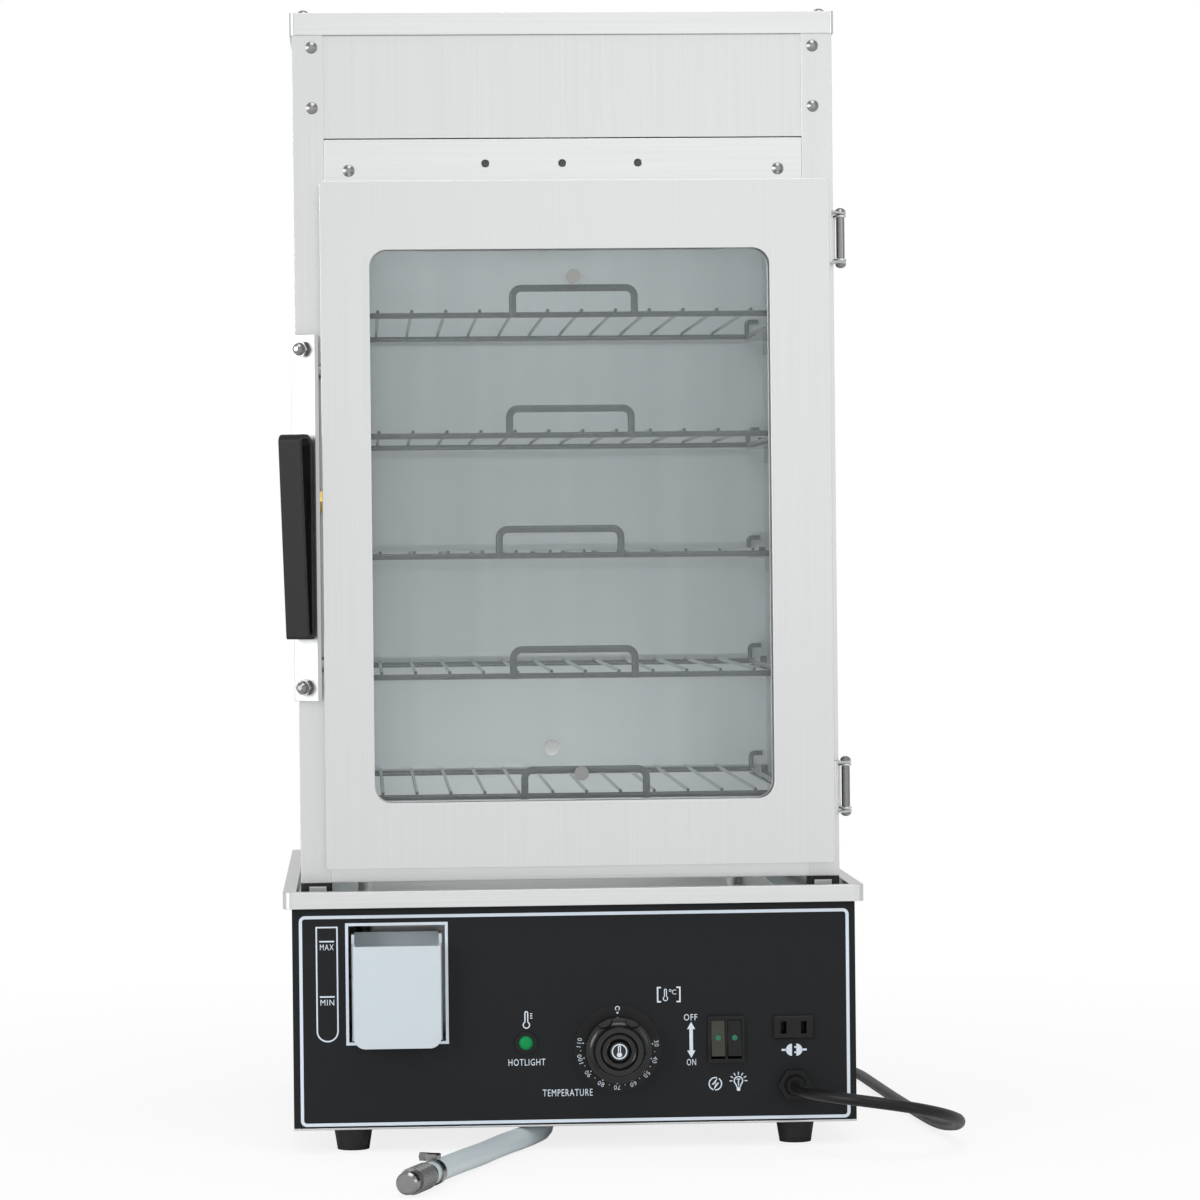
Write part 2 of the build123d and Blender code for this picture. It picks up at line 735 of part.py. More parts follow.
# Cable gland: hexagon, domed nose, neck, and the locknut behind the shell
gland_hex = 5.0
gland_nose = 6.0
gland_bore = cord_radius + shaft_gap
gland_neck = 10.0
with BuildPart() as cable_gland:
    with BuildSketch(panel_plane):
        with Locations((gland_x, gland_z)):
            RegularPolygon(gland_flat / 2, 6, major_radius=False)
    extrude(amount=gland_hex)
    with BuildSketch(panel_plane.offset(gland_hex)):
        with Locations((gland_x, gland_z)):
            Circle(7.6)
    extrude(amount=gland_nose, taper=14)
    with BuildSketch(panel_plane):
        with Locations((gland_x, gland_z)):
            Circle(gland_flat / 2 - 2 - shaft_gap)
    extrude(amount=-gland_neck)
    with BuildSketch(panel_plane.offset(-(shell_back_y - panel_y))):
        with Locations((gland_x, gland_z)):
            RegularPolygon(gland_flat / 2 + 1, 6, major_radius=False)
    extrude(amount=-4)
keep(cable_gland, "cable_gland")

# Mains cord: forward out of the gland, round to the right, down to the floor and behind the object
gland_front = panel_y - gland_hex - gland_nose
cord_points = [
    (151, gland_front, 42.2),
    (151, -245, 42.0),
    (166, -271, 41.5),
    (192, -286, 39.5),
    (222, -286, 35.0),
    (247, -270, 28.0),
    (262, -242, 20.0),
    (264, -202, 11.0),
    (258, -147, 5.0),
    (253, -72, cord_z),
    (246, 17, cord_z),
    (241, 102, cord_z),
    (236, 180, cord_z),
    (214, 240, cord_z),
    (156, coil_y - coil_radius, cord_z),
    (coil_x + 2 * cord_radius, coil_y - coil_radius, cord_z),
]
cord_radii = route_radii(cord_points)
with BuildPart() as power_cord:
    with BuildLine() as cord_path:
        FilletPolyline(*cord_points, radius=cord_radii)
    with BuildSketch(Plane(origin=cord_points[0], z_dir=(0, -1, 0))):
        Circle(cord_radius)
    sweep()
keep(power_cord, "power_cord")
report_tube("power_cord", power_cord, cord_path, cord_radii, cord_radius)

# Put-away coil: half turns that wind in, climb one layer at the smallest one, and wind out over them
layer_step = coil_pitch
coil_steps = [
    (coil_radius, 0),
    (coil_radius - coil_pitch / 2, 0),
    (coil_radius - coil_pitch, layer_step),
    (coil_radius - coil_pitch / 2, 0),
    (coil_radius, 0),
    (coil_radius + 12, 0),
]
coil_start = Vector(coil_x, coil_y - coil_radius, cord_z)
coil_marks = []
with BuildPart() as cord_coil:
    with BuildLine() as coil_path:
        here = coil_start
        Line(here + Vector(2 * cord_radius, 0, 0), here)
        side = 1
        for half_radius, climb in coil_steps:
            there = here + Vector(0, 2 * half_radius * side, climb)
            middle = (here + there) / 2 + Vector(-half_radius * side, 0, 0)
            turn = ThreePointArc(here, middle, there)
            coil_marks.append([turn @ (step / 24) for step in range(25)])
            here = there
            side = -side
        coil_end = here + Vector(-2 * cord_radius, 0, 0)
        Line(here, coil_end)
    with BuildSketch(Plane(origin=coil_start + Vector(2 * cord_radius, 0, 0), z_dir=(-1, 0, 0))):
        Circle(cord_radius)
    sweep()
keep(cord_coil, "cord_coil")

coil_length = sum(edge.length for edge in coil_path.edges())
self_gap = min(
    (a - b).length - 2 * cord_radius
    for first, marks in enumerate(coil_marks)
    for later in coil_marks[first + 2 :]
    for a in marks
    for b in later
)
print("cord_coil length", round(coil_length, 1), "least gap to itself", round(self_gap, 2))

# Plug on the end of the cord: a tapered grip and three flat pins
grip_length = 38.0
pin_length = 17.0
plug_end_plane = Plane(origin=coil_end, x_dir=(0, 1, 0), z_dir=(-1, 0, 0))
with BuildPart() as power_plug:
    with BuildSketch(plug_end_plane):
        Circle(cord_radius + 1.5)
    with BuildSketch(plug_end_plane.offset(grip_length - 10)):
        RectangleRounded(24, 22, 6)
    loft()
    with BuildSketch(plug_end_plane.offset(grip_length - 10)):
        RectangleRounded(24, 22, 6)
    extrude(amount=10)
    with BuildSketch(plug_end_plane.offset(grip_length)):
        with Locations((-6.5, -3), (6.5, -3)):
            Rectangle(1.6, 6.4)
        with Locations((0, 6)):
            Rectangle(1.6, 6.4)
    extrude(amount=pin_length)
keep(power_plug, "power_plug")

# Cabinet posts: angles at the four corners, drilled for the front screws
screw_radius = 2.0
screw_head_radius = 4.2
screw_head_rise = 2.4
screw_shank = 3.5
post_screw_x = half_cabinet - 13.5
post_screw_zs = (fascia_bottom + 21, fascia_bottom + 63)
post_screws = [(side * post_screw_x, z) for side in (-1, 1) for z in post_screw_zs]
strip_screws = [(-149.5, strip_bottom + 7.5), (149.5, strip_bottom + 7.5)]
with BuildPart() as corner_posts:
    for side_x in (-1, 1):
        for corner_y, side_y in ((cabinet_front, 1), (cabinet_rear, -1)):
            outer = side_x * half_cabinet
            with BuildSketch(Plane.XY.offset(cabinet_bottom)):
                with BuildLine():
                    Polyline(
                        (outer, corner_y),
                        (outer - side_x * post_width, corner_y),
                        (outer - side_x * post_width, corner_y + side_y * post_sheet),
                        (outer - side_x * post_sheet, corner_y + side_y * post_sheet),
                        (outer - side_x * post_sheet, corner_y + side_y * post_width),
                        (outer, corner_y + side_y * post_width),
                        close=True,
                    )
                make_face()
            extrude(amount=cabinet_height)
    with BuildSketch(post_plane):
        with Locations(*post_screws):
            Circle(screw_radius + shaft_gap)
    extrude(amount=-post_sheet, mode=Mode.SUBTRACT)
keep(corner_posts, "corner_posts")

# Outer wrap: one sheet folded round the two sides and the back, inside the posts
panel_top = cabinet_top - sheet
wrap_x = half_cabinet - post_sheet
wrap_rear = cabinet_rear - post_sheet
with BuildPart() as cabinet_wrap:
    with BuildSketch(Plane.XY.offset(cabinet_bottom)):
        with BuildLine():
            Polyline(
                (-wrap_x, post_back),
                (-wrap_x, wrap_rear),
                (wrap_x, wrap_rear),
                (wrap_x, post_back),
                (wrap_x - sheet, post_back),
                (wrap_x - sheet, wrap_rear - sheet),
                (-wrap_x + sheet, wrap_rear - sheet),
                (-wrap_x + sheet, post_back),
                close=True,
            )
        make_face()
    extrude(amount=panel_top - cabinet_bottom)
keep(cabinet_wrap, "cabinet_wrap")

# Inner liner: one sheet folded round the two sides and the back of the rack space
rear_plug_x, rear_plug_z = 3.0, 259.0
with BuildPart() as cavity_liner:
    with BuildSketch(Plane.XY.offset(cabinet_bottom)):
        with BuildLine():
            inner_x = liner_width / 2
            outer_x = inner_x + sheet
            Polyline(
                (-inner_x, post_back),
                (-outer_x, post_back),
                (-outer_x, liner_rear + sheet),
                (outer_x, liner_rear + sheet),
                (outer_x, post_back),
                (inner_x, post_back),
                (inner_x, liner_rear),
                (-inner_x, liner_rear),
                close=True,
            )
        make_face()
    extrude(amount=ceiling_z - cabinet_bottom)
    with BuildSketch(Plane(origin=(0, liner_rear, 0), x_dir=(1, 0, 0), z_dir=(0, -1, 0))):
        with Locations((rear_plug_x, rear_plug_z)):
            Circle(plug_shank + shaft_gap)
    extrude(amount=-sheet, mode=Mode.SUBTRACT)
keep(cavity_liner, "cavity_liner")

with BuildPart() as rear_plug:
    with BuildSketch(Plane(origin=(0, liner_rear, 0), x_dir=(1, 0, 0), z_dir=(0, -1, 0))):
        with Locations((rear_plug_x, rear_plug_z)):
            Circle(plug_radius + 1)
    extrude(amount=2)
    with BuildSketch(Plane(origin=(0, liner_rear, 0), x_dir=(1, 0, 0), z_dir=(0, -1, 0))):
        with Locations((rear_plug_x, rear_plug_z)):
            Circle(plug_shank)
    extrude(amount=-4)
keep(rear_plug, "rear_plug")

# Ceiling with a folded front flange, and the lamp below it
lamp_y = (cabinet_front + liner_rear) / 2 + 90
ceiling_flange_z = door_top + 3.5
with BuildPart() as ceiling_plate:
    with BuildSketch(Plane.XY.offset(ceiling_z)):
        with Locations((0, (post_back + liner_rear + sheet) / 2)):
            Rectangle(liner_width + 2 * sheet, liner_rear + sheet - post_back)
        with Locations((0, lamp_y)):
            Circle(9, mode=Mode.SUBTRACT)
    extrude(amount=sheet)
    with BuildSketch(Plane.XY.offset(ceiling_flange_z)):
        with Locations((0, post_back + sheet / 2)):
            Rectangle(liner_width, sheet)
    extrude(amount=ceiling_z + sheet - ceiling_flange_z)
    with BuildSketch(Plane(origin=(0, post_back, 0), x_dir=(1, 0, 0), z_dir=(0, -1, 0))):
        with Locations(*strip_screws):
            Circle(screw_radius + shaft_gap)
    extrude(amount=-sheet, mode=Mode.SUBTRACT)
keep(ceiling_plate, "ceiling_plate")

holder_depth = 14.0
holder_radius = 17.0
with BuildPart() as lamp_holder:
    with BuildSketch(Plane.XY.offset(ceiling_z)):
        with Locations((0, lamp_y)):
            Circle(holder_radius)
    extrude(amount=-holder_depth, taper=8)
    with BuildSketch(Plane.XY.offset(ceiling_z)):
        with Locations((0, lamp_y)):
            Circle(9 - shaft_gap)
    extrude(amount=16)
keep(lamp_holder, "lamp_holder")

bulb_radius = 13.0
bulb_cap_radius = 7.0
bulb_top = ceiling_z - holder_depth
bulb_neck = 6.0
with BuildPart() as lamp_bulb:
    with BuildSketch(Plane.XY.offset(bulb_top)):
        with Locations((0, lamp_y)):
            Circle(bulb_cap_radius)
    extrude(amount=-bulb_neck - 3)
    with Locations((0, lamp_y, bulb_top - bulb_neck - bulb_radius + 1.5)):
        Sphere(bulb_radius)
keep(lamp_bulb, "lamp_bulb")

# Front of the cabinet above and below the door
with BuildPart() as upper_fascia:
    with BuildSketch(post_plane.offset(-post_sheet)):
        with Locations((0, (fascia_bottom + panel_top) / 2)):
            Rectangle(cabinet_width - 2 * post_sheet - 2 * sheet - 1, panel_top - fascia_bottom)
        with Locations(*post_screws):
            Circle(screw_radius + shaft_gap, mode=Mode.SUBTRACT)
    extrude(amount=-sheet)
keep(upper_fascia, "upper_fascia")

vent_radius = 2.75
strip_low = door_top - strip_lap
strip_high = strip_bottom + strip_height
vent_holes = [(-54.5, strip_bottom + 12), (-1.0, strip_bottom + 12), (51.8, strip_bottom + 12)]
with BuildPart() as vent_strip:
    with BuildSketch(post_plane):
        with Locations((0, (strip_low + strip_high) / 2)):
            Rectangle(cabinet_width - 2 * post_width - 0.4, strip_high - strip_low)
        with Locations(*vent_holes):
            Circle(vent_radius, mode=Mode.SUBTRACT)
        with Locations(*strip_screws):
            Circle(screw_radius + shaft_gap, mode=Mode.SUBTRACT)
    extrude(amount=-post_sheet)
keep(vent_strip, "vent_strip")

sill_rear = cabinet_front + sill_depth
sill_top = cabinet_bottom + sill_height
sill_half = half_cabinet - post_width
with BuildPart() as door_sill:
    with BuildSketch(Plane.YZ.offset(-sill_half)):
        with BuildLine():
            Polyline(
                (cabinet_front, cabinet_bottom),
                (cabinet_front, sill_top),
                (sill_rear, sill_top),
                (sill_rear, cabinet_bottom),
                (sill_rear - sheet, cabinet_bottom),
                (sill_rear - sheet, sill_top - sheet),
                (cabinet_front + sheet, sill_top - sheet),
                (cabinet_front + sheet, cabinet_bottom),
                close=True,
            )
        make_face()
    extrude(amount=2 * sill_half)
keep(door_sill, "door_sill")

cover_width = cabinet_width + 2 * cover_margin
cover_depth = cabinet_depth + 2 * cover_margin
cover_screws = [
    (side * (half_cabinet - 8), y) for side in (-1, 1) for y in (cabinet_front + 7, cabinet_rear - 7)
]
with BuildPart() as top_cover:
    with BuildSketch(Plane.XY.offset(cover_bottom)):
        with Locations((0, (cabinet_front + cabinet_rear) / 2)):
            RectangleRounded(cover_width, cover_depth, 3)
    extrude(amount=cover_height)
    with BuildSketch(Plane.XY.offset(cover_bottom)):
        with Locations((0, (cabinet_front + cabinet_rear) / 2)):
            RectangleRounded(cover_width - 2 * sheet, cover_depth - 2 * sheet, 0.8)
    extrude(amount=cover_height - sheet, mode=Mode.SUBTRACT)
    with BuildSketch(Plane.XY.offset(cover_bottom)):
        with Locations(*cover_screws):
            Circle(screw_radius + shaft_gap)
    extrude(amount=cover_height, mode=Mode.SUBTRACT)
keep(top_cover, "top_cover")

screw_planes = [Plane(origin=(x, y, cabinet_top + sheet)) for x, y in cover_screws]
screw_planes += [Plane(origin=(x, cabinet_front, z), z_dir=(0, -1, 0)) for x, z in post_screws + strip_screws]
with BuildPart() as dome_screws:
    for screw_plane in screw_planes:
        with BuildSketch(screw_plane):
            Circle(screw_head_radius)
        with BuildSketch(screw_plane.offset(screw_head_rise * 0.55)):
            Circle(screw_head_radius * 0.86)
        with BuildSketch(screw_plane.offset(screw_head_rise)):
            Circle(screw_head_radius * 0.42)
        loft(ruled=True)
        with BuildSketch(screw_plane):
            Circle(screw_radius)
        extrude(amount=-screw_shank)
keep(dome_screws, "dome_screws")

# Black pads between the posts and the deck
with BuildPart() as cabinet_pads:
    with BuildSketch(Plane.XY.offset(deck_z)):
        with Locations((0, (cabinet_front + cabinet_rear) / 2)):
            with GridLocations(2 * pad_x, cabinet_depth - post_width, 2, 2):
                RectangleRounded(post_width, post_width, 2)
    extrude(amount=pad_height)
keep(cabinet_pads, "cabinet_pads")

# Rack runners: angle ledges on both side walls, with a small stop tab near the back
runner_front = post_back + 10
runner_rear = liner_rear - 12
rack_zs = [rack_top_z - index * rack_pitch for index in range(rack_count)]
inner_wall = liner_width / 2
ledge_x = inner_wall - ledge_width / 2
tab_width, tab_height, tab_sheet = 5.0, 7.0, 1.5
with BuildPart() as rack_runners:
    for rack_z in rack_zs:
        ledge_top = rack_z - rail_radius - run_gap
        for side_x in (-1, 1):
            with BuildSketch(Plane.XZ.offset(-runner_front)):
                with BuildLine():
                    Polyline(
                        (side_x * inner_wall, ledge_top),
                        (side_x * (inner_wall - ledge_width), ledge_top),
                        (side_x * (inner_wall - ledge_width), ledge_top - sheet),
                        (side_x * (inner_wall - sheet), ledge_top - sheet),
                        (side_x * (inner_wall - sheet), ledge_top - ledge_leg),
                        (side_x * inner_wall, ledge_top - ledge_leg),
                        close=True,
                    )
                make_face()
            extrude(amount=-(runner_rear - runner_front))
            with BuildSketch(Plane.XZ.offset(-(runner_rear - 30))):
                with Locations((side_x * (rack_half + 7), ledge_top + tab_height / 2)):
                    Rectangle(tab_width, tab_height)
            extrude(amount=tab_sheet)
keep(rack_runners, "rack_runners")

# Wire racks: two rails, two bent side rods, the cross wires welded on top, and a grip
front_rail_y = cabinet_front + rack_front
rear_rail_y = cabinet_front + rack_rear
weld = 0.3
for index, rack_z in enumerate(rack_zs):
    grip_x = grip_offsets[index]
    grip_y = front_rail_y - rail_radius - grip_radius + weld
    with BuildPart() as rack:
        for rail_y in (front_rail_y, rear_rail_y):
            with BuildSketch(Plane.YZ.offset(-rack_half - rail_end)):
                with Locations((rail_y, rack_z)):
                    Circle(rail_radius)
            extrude(amount=2 * (rack_half + rail_end))
        for side_x in (-1, 1):
            with BuildLine():
                FilletPolyline(
                    (side_x * rack_half, front_rail_y, rack_z),
                    (side_x * rack_half, rear_rail_y + 6, rack_z),
                    (side_x * rack_half, rear_rail_y + 6, rack_z + hook_up),
                    (side_x * (rack_half + hook_out), rear_rail_y + 6, rack_z + hook_up),
                    radius=3,
                )
            with BuildSketch(Plane(origin=(side_x * rack_half, front_rail_y, rack_z), z_dir=(0, 1, 0))):
                Circle(side_rod_radius)
            sweep()
        with BuildSketch(Plane.XZ.offset(-(front_rail_y - rail_radius + 0.5))):
            with Locations((0, rack_z + rail_radius + wire_radius - weld)):
                with GridLocations(wire_pitch, 0, wire_count, 1):
                    RegularPolygon(wire_radius, 6)
        extrude(amount=-(rear_rail_y - front_rail_y + 2 * rail_radius - 1))
        with BuildLine():
            FilletPolyline(
                (grip_x - grip_width / 2, grip_y, rack_z - rail_radius),
                (grip_x - grip_width / 2, grip_y, rack_z + grip_height),
                (grip_x + grip_width / 2, grip_y, rack_z + grip_height),
                (grip_x + grip_width / 2, grip_y, rack_z - rail_radius),
                radius=grip_corner,
            )
        with BuildSketch(
            Plane(origin=(grip_x - grip_width / 2, grip_y, rack_z - rail_radius), z_dir=(0, 0, 1))
        ):
            Circle(grip_radius)
        sweep()
    keep(rack, f"rack_{index + 1}")

# Door: a hollow sheet frame, two panes, an inner cover and a seal
window_width = door_width - window_left - window_right
window_height = door_height - window_bottom - window_top
window_x = door_left + window_left + window_width / 2
window_z = door_bottom + window_bottom + window_height / 2
door_x = (door_left + door_right) / 2
door_z = (door_bottom + door_top) / 2
with BuildSketch() as window_outline:
    with Locations((window_x, window_z)):
        RectangleRounded(window_width, window_height, window_corner)

with BuildPart() as door_frame:
    with BuildSketch(door_plane):
        with Locations((door_x, door_z)):
            RectangleRounded(door_width, door_height, 2)
    extrude(amount=-door_shell)
    with BuildSketch(door_plane.offset(-sheet)):
        with Locations((door_x, door_z)):
            Rectangle(door_width - 2 * sheet, door_height - 2 * sheet)
    extrude(amount=-door_shell, mode=Mode.SUBTRACT)
    with BuildSketch(door_plane):
        add(window_outline.sketch)
    extrude(amount=-sheet, mode=Mode.SUBTRACT)
keep(door_frame, "door_frame")

lap = glass_lap
pane_width = window_width + 2 * lap
pane_height = window_height + 2 * lap
plug_places = [
    (plug_x - 1, door_top - window_top - plug_from_edge),
    (plug_x + 1, door_bottom + window_bottom + plug_from_edge),
]
outer_pane = -sheet
inner_pane = -(door_shell - sheet - glass_thickness)
with BuildPart() as glass_panes:
    for pane_start in (outer_pane, inner_pane):
        with BuildSketch(door_plane.offset(pane_start)):
            with Locations((window_x, window_z)):
                Rectangle(pane_width, pane_height)
            with Locations(*plug_places):
                Circle(plug_shank + shaft_gap, mode=Mode.SUBTRACT)
        extrude(amount=-glass_thickness)
keep(glass_panes, "glass_panes")

with BuildPart() as door_inner_cover:
    with BuildSketch(door_plane.offset(-door_shell + sheet)):
        with Locations((door_x, door_z)):
            Rectangle(door_width - 2 * sheet, door_height - 2 * sheet)
        add(window_outline.sketch, mode=Mode.SUBTRACT)
    extrude(amount=-sheet)
keep(door_inner_cover, "door_inner_cover")

# Spacer ring between the panes, hidden by the frame round the window
spacer_depth = door_shell - 2 * sheet - 2 * glass_thickness
with BuildPart() as pane_spacer:
    with BuildSketch(door_plane.offset(-sheet - glass_thickness)):
        with Locations((window_x, window_z)):
            Rectangle(pane_width, pane_height)
            Rectangle(window_width + 2, window_height + 2, mode=Mode.SUBTRACT)
    extrude(amount=-spacer_depth)
keep(pane_spacer, "pane_spacer")

seal_width = 8.0
seal_left = door_left + 1
seal_right = half_cabinet - 12
seal_span = seal_right - seal_left
seal_height = door_height - 5
with BuildPart() as door_gasket:
    with BuildSketch(door_plane.offset(-door_shell)):
        with Locations(((seal_left + seal_right) / 2, door_z)):
            Rectangle(seal_span, seal_height)
            Rectangle(seal_span - 2 * seal_width, seal_height - 2 * seal_width, mode=Mode.SUBTRACT)
    extrude(amount=-gasket_thickness)
keep(door_gasket, "door_gasket")

with BuildPart() as glass_plugs:
    with BuildSketch(door_plane.offset(outer_pane)):
        with Locations(*plug_places):
            Circle(plug_radius)
    extrude(amount=2)
    with BuildSketch(door_plane.offset(outer_pane)):
        with Locations(*plug_places):
            Circle(plug_shank)
    extrude(amount=-(glass_thickness * 2 + spacer_depth))
keep(glass_plugs, "glass_plugs")

# Hinges: a fixed bracket, a moving bracket and a pin at two heights
hinge_x = door_right + hinge_offset
hinge_y = cabinet_front
hinge_zs = (door_bottom + hinge_low, door_bottom + hinge_high)
ear_gap = 0.5
door_ear = hinge_height / 2 - ear_thickness
fixed_ear = door_ear - ear_gap - ear_thickness
with BuildPart() as hinge_brackets_cabinet:
    for hinge_z in hinge_zs:
        with BuildSketch(Plane.YZ.offset(half_cabinet)):
            with Locations((hinge_y + 14, hinge_z)):
                Rectangle(24, 2 * (fixed_ear + ear_thickness))
        extrude(amount=ear_thickness)
        for low in (-fixed_ear - ear_thickness, fixed_ear):
            with BuildSketch(Plane.XY.offset(hinge_z + low)):
                with Locations((hinge_x, hinge_y)):
                    Circle(ear_radius)
                with Locations((half_cabinet + ear_thickness / 2, hinge_y + 14)):
                    Rectangle(ear_thickness, 24)
                make_hull()
                with Locations((hinge_x, hinge_y)):
                    Circle(pin_radius, mode=Mode.SUBTRACT)
            extrude(amount=ear_thickness)
keep(hinge_brackets_cabinet, "hinge_brackets_cabinet")

door_leaf_y = (door_front + door_back) / 2 - 2.5
door_leaf_depth = door_shell - 7
with BuildPart() as hinge_brackets_door:
    for hinge_z in hinge_zs:
        with BuildSketch(Plane.YZ.offset(door_right)):
            with Locations((door_leaf_y, hinge_z)):
                Rectangle(door_leaf_depth, hinge_height)
        extrude(amount=ear_thickness)
        for low in (-door_ear - ear_thickness, door_ear):
            with BuildSketch(Plane.XY.offset(hinge_z + low)):
                with Locations((hinge_x, hinge_y)):
                    Circle(ear_radius)
                with Locations((door_right + ear_thickness / 2, door_leaf_y)):
                    Rectangle(ear_thickness, door_leaf_depth)
                make_hull()
                with Locations((hinge_x, hinge_y)):
                    Circle(pin_radius + shaft_gap, mode=Mode.SUBTRACT)
            extrude(amount=ear_thickness)
keep(hinge_brackets_door, "hinge_brackets_door")

pin_head_radius = 3.9
pin_head_rise = 2.6
pin_boss = 0.7
pin_half = hinge_height / 2 + run_gap
with BuildPart() as hinge_pins:
    for hinge_z in hinge_zs:
        with BuildSketch(Plane.XY.offset(hinge_z - pin_half)):
            with Locations((hinge_x, hinge_y)):
                Circle(pin_radius)
        extrude(amount=2 * pin_half)
        with BuildSketch(Plane.XY.offset(hinge_z - fixed_ear + ear_gap)):
            with Locations((hinge_x, hinge_y)):
                Circle(pin_radius + pin_boss)
        extrude(amount=2 * (fixed_ear - ear_gap))
        for way in (-1, 1):
            head_plane = Plane(origin=(hinge_x, hinge_y, hinge_z + way * pin_half), z_dir=(0, 0, way))
            with BuildSketch(head_plane):
                Circle(pin_head_radius)
            with BuildSketch(head_plane.offset(pin_head_rise * 0.6)):
                Circle(pin_head_radius * 0.82)
            with BuildSketch(head_plane.offset(pin_head_rise)):
                Circle(pin_head_radius * 0.4)
            loft(ruled=True)
keep(hinge_pins, "hinge_pins")

# Latch plate: a bent sheet whose face turns away to the left, on the door's left edge
turn_angle = math.radians(plate_angle)
outward = Vector(-math.sin(turn_angle), -math.cos(turn_angle), 0)
leftward = Vector(-math.cos(turn_angle), math.sin(turn_angle), 0)
leaf_x = door_left - leaf_clear - post_sheet / 2
plate_right = Vector(leaf_x - 1.7, door_front + post_sheet / 2, 0)
plate_left = plate_right + leftward * plate_width
plate_middle = (plate_right + plate_left) / 2 + outward * (post_sheet / 2)
latch_centre = plate_middle + Vector(0, 0, latch_z)
plate_plane = Plane(origin=plate_middle, x_dir=-leftward, z_dir=outward)
nut_zs = (plate_bottom + 9.5, plate_bottom + plate_height - 10)
spindle_radius = 3.0
stud_radius = 2.5
spacer_zs = (plate_bottom + 25, plate_bottom + plate_height - 25)
spacer_y = (door_front + door_back) / 2
with BuildPart() as latch_plate:
    with BuildSketch(Plane.XY.offset(plate_bottom)):
        with BuildLine():
            Polyline(
                (plate_left.X, plate_left.Y),
                (plate_right.X, plate_right.Y),
                (leaf_x, plate_right.Y),
                (leaf_x, door_back - 1),
            )
        trace(line_width=post_sheet)
    extrude(amount=plate_height)
    with BuildSketch(plate_plane):
        with Locations((0, latch_z)):
            Circle(spindle_radius + shaft_gap)
        with Locations(*[(0, z) for z in nut_zs]):
            Circle(stud_radius + shaft_gap)
    extrude(amount=-post_sheet - 0.5, mode=Mode.SUBTRACT)
    # pressed bosses that stand the leaf off the door's edge
    with BuildSketch(Plane.YZ.offset(door_left - leaf_clear)):
        with Locations(*[(spacer_y, z) for z in spacer_zs]):
            Circle(5)
    extrude(amount=leaf_clear)
keep(latch_plate, "latch_plate")

with BuildPart() as brass_nut:
    with BuildSketch(Plane.YZ.offset(door_left - leaf_clear)):
        with Locations((spacer_y, latch_z)):
            RegularPolygon(7, 6, major_radius=False)
    extrude(amount=leaf_clear)
keep(brass_nut, "brass_nut")

dome_flat = 5.0
dome_hex = 4.0
dome_rise = 5.0
with BuildPart() as dome_nuts:
    for nut_z in nut_zs:
        nut_plane = Plane(origin=plate_middle + Vector(0, 0, nut_z), x_dir=-leftward, z_dir=outward)
        with BuildSketch(nut_plane):
            Circle(dome_flat + 0.9)
        extrude(amount=1)
        with BuildSketch(nut_plane.offset(1)):
            RegularPolygon(dome_flat, 6, major_radius=False)
        extrude(amount=dome_hex)
        with BuildSketch(nut_plane.offset(1 + dome_hex)):
            Circle(dome_flat - 0.4)
        with BuildSketch(nut_plane.offset(1 + dome_hex + dome_rise * 0.6)):
            Circle((dome_flat - 0.4) * 0.8)
        with BuildSketch(nut_plane.offset(1 + dome_hex + dome_rise)):
            Circle((dome_flat - 0.4) * 0.35)
        loft(ruled=True)
        with BuildSketch(nut_plane):
            Circle(stud_radius)
        extrude(amount=-4)
keep(dome_nuts, "dome_nuts")

# Latch handle: a closed band that tapers downwards, on a block at the spindle
handle_plane = Plane(origin=latch_centre, x_dir=outward, z_dir=leftward)
handle_width = 16.5
hub_half = 13.0
hub_front = 9.0
handle_back = 2.6
with BuildPart() as latch_handle:
    with BuildSketch(handle_plane):
        with BuildLine():
            FilletPolyline(
                (handle_back, -handle_down),
                (handle_back, handle_up),
                (handle_top_reach, handle_up),
                (handle_foot_reach, -handle_down),
                radius=[2, 9, 5, 2],
                close=True,
            )
        make_face()
        with BuildLine():
            FilletPolyline(
                (handle_back + handle_wall, -handle_down + handle_wall),
                (handle_back + handle_wall, handle_up - handle_wall),
                (handle_top_reach - handle_wall, handle_up - handle_wall),
                (handle_foot_reach - handle_wall, -handle_down + handle_wall),
                radius=[1.5, 6, 2, 1.5],
                close=True,
            )
        make_face(mode=Mode.SUBTRACT)
    extrude(amount=handle_width / 2, both=True)
    with BuildSketch(handle_plane):
        with Locations(((hub_front + run_gap) / 2, 0)):
            Rectangle(hub_front - run_gap, 2 * hub_half)
    extrude(amount=handle_width / 2 - 3, both=True)
    with BuildSketch(plate_plane.offset(run_gap)):
        with Locations((0, latch_z)):
            Circle(spindle_radius)
    extrude(amount=6, mode=Mode.SUBTRACT)
keep(latch_handle, "latch_handle")

tongue_thickness = 2.5
tongue_width = 6.0
with BuildPart() as latch_spindle:
    with BuildSketch(plate_plane.offset(run_gap + 6)):
        with Locations((0, latch_z)):
            Circle(spindle_radius)
    extrude(amount=-(run_gap + 6 + tongue_depth + tongue_thickness / 2))
    with BuildSketch(plate_plane.offset(-tongue_depth + tongue_thickness / 2)):
        with Locations((0, latch_z)):
            Circle(5)
        with Locations((0, latch_z - tongue_reach / 2)):
            Rectangle(tongue_width, tongue_reach)
    extrude(amount=-tongue_thickness)
    with BuildSketch(plate_plane.offset(-post_sheet - run_gap)):
        with Locations((0, latch_z)):
            Circle(5)
    extrude(amount=-(tongue_depth - tongue_thickness / 2 - post_sheet - run_gap))
keep(latch_spindle, "latch_spindle")

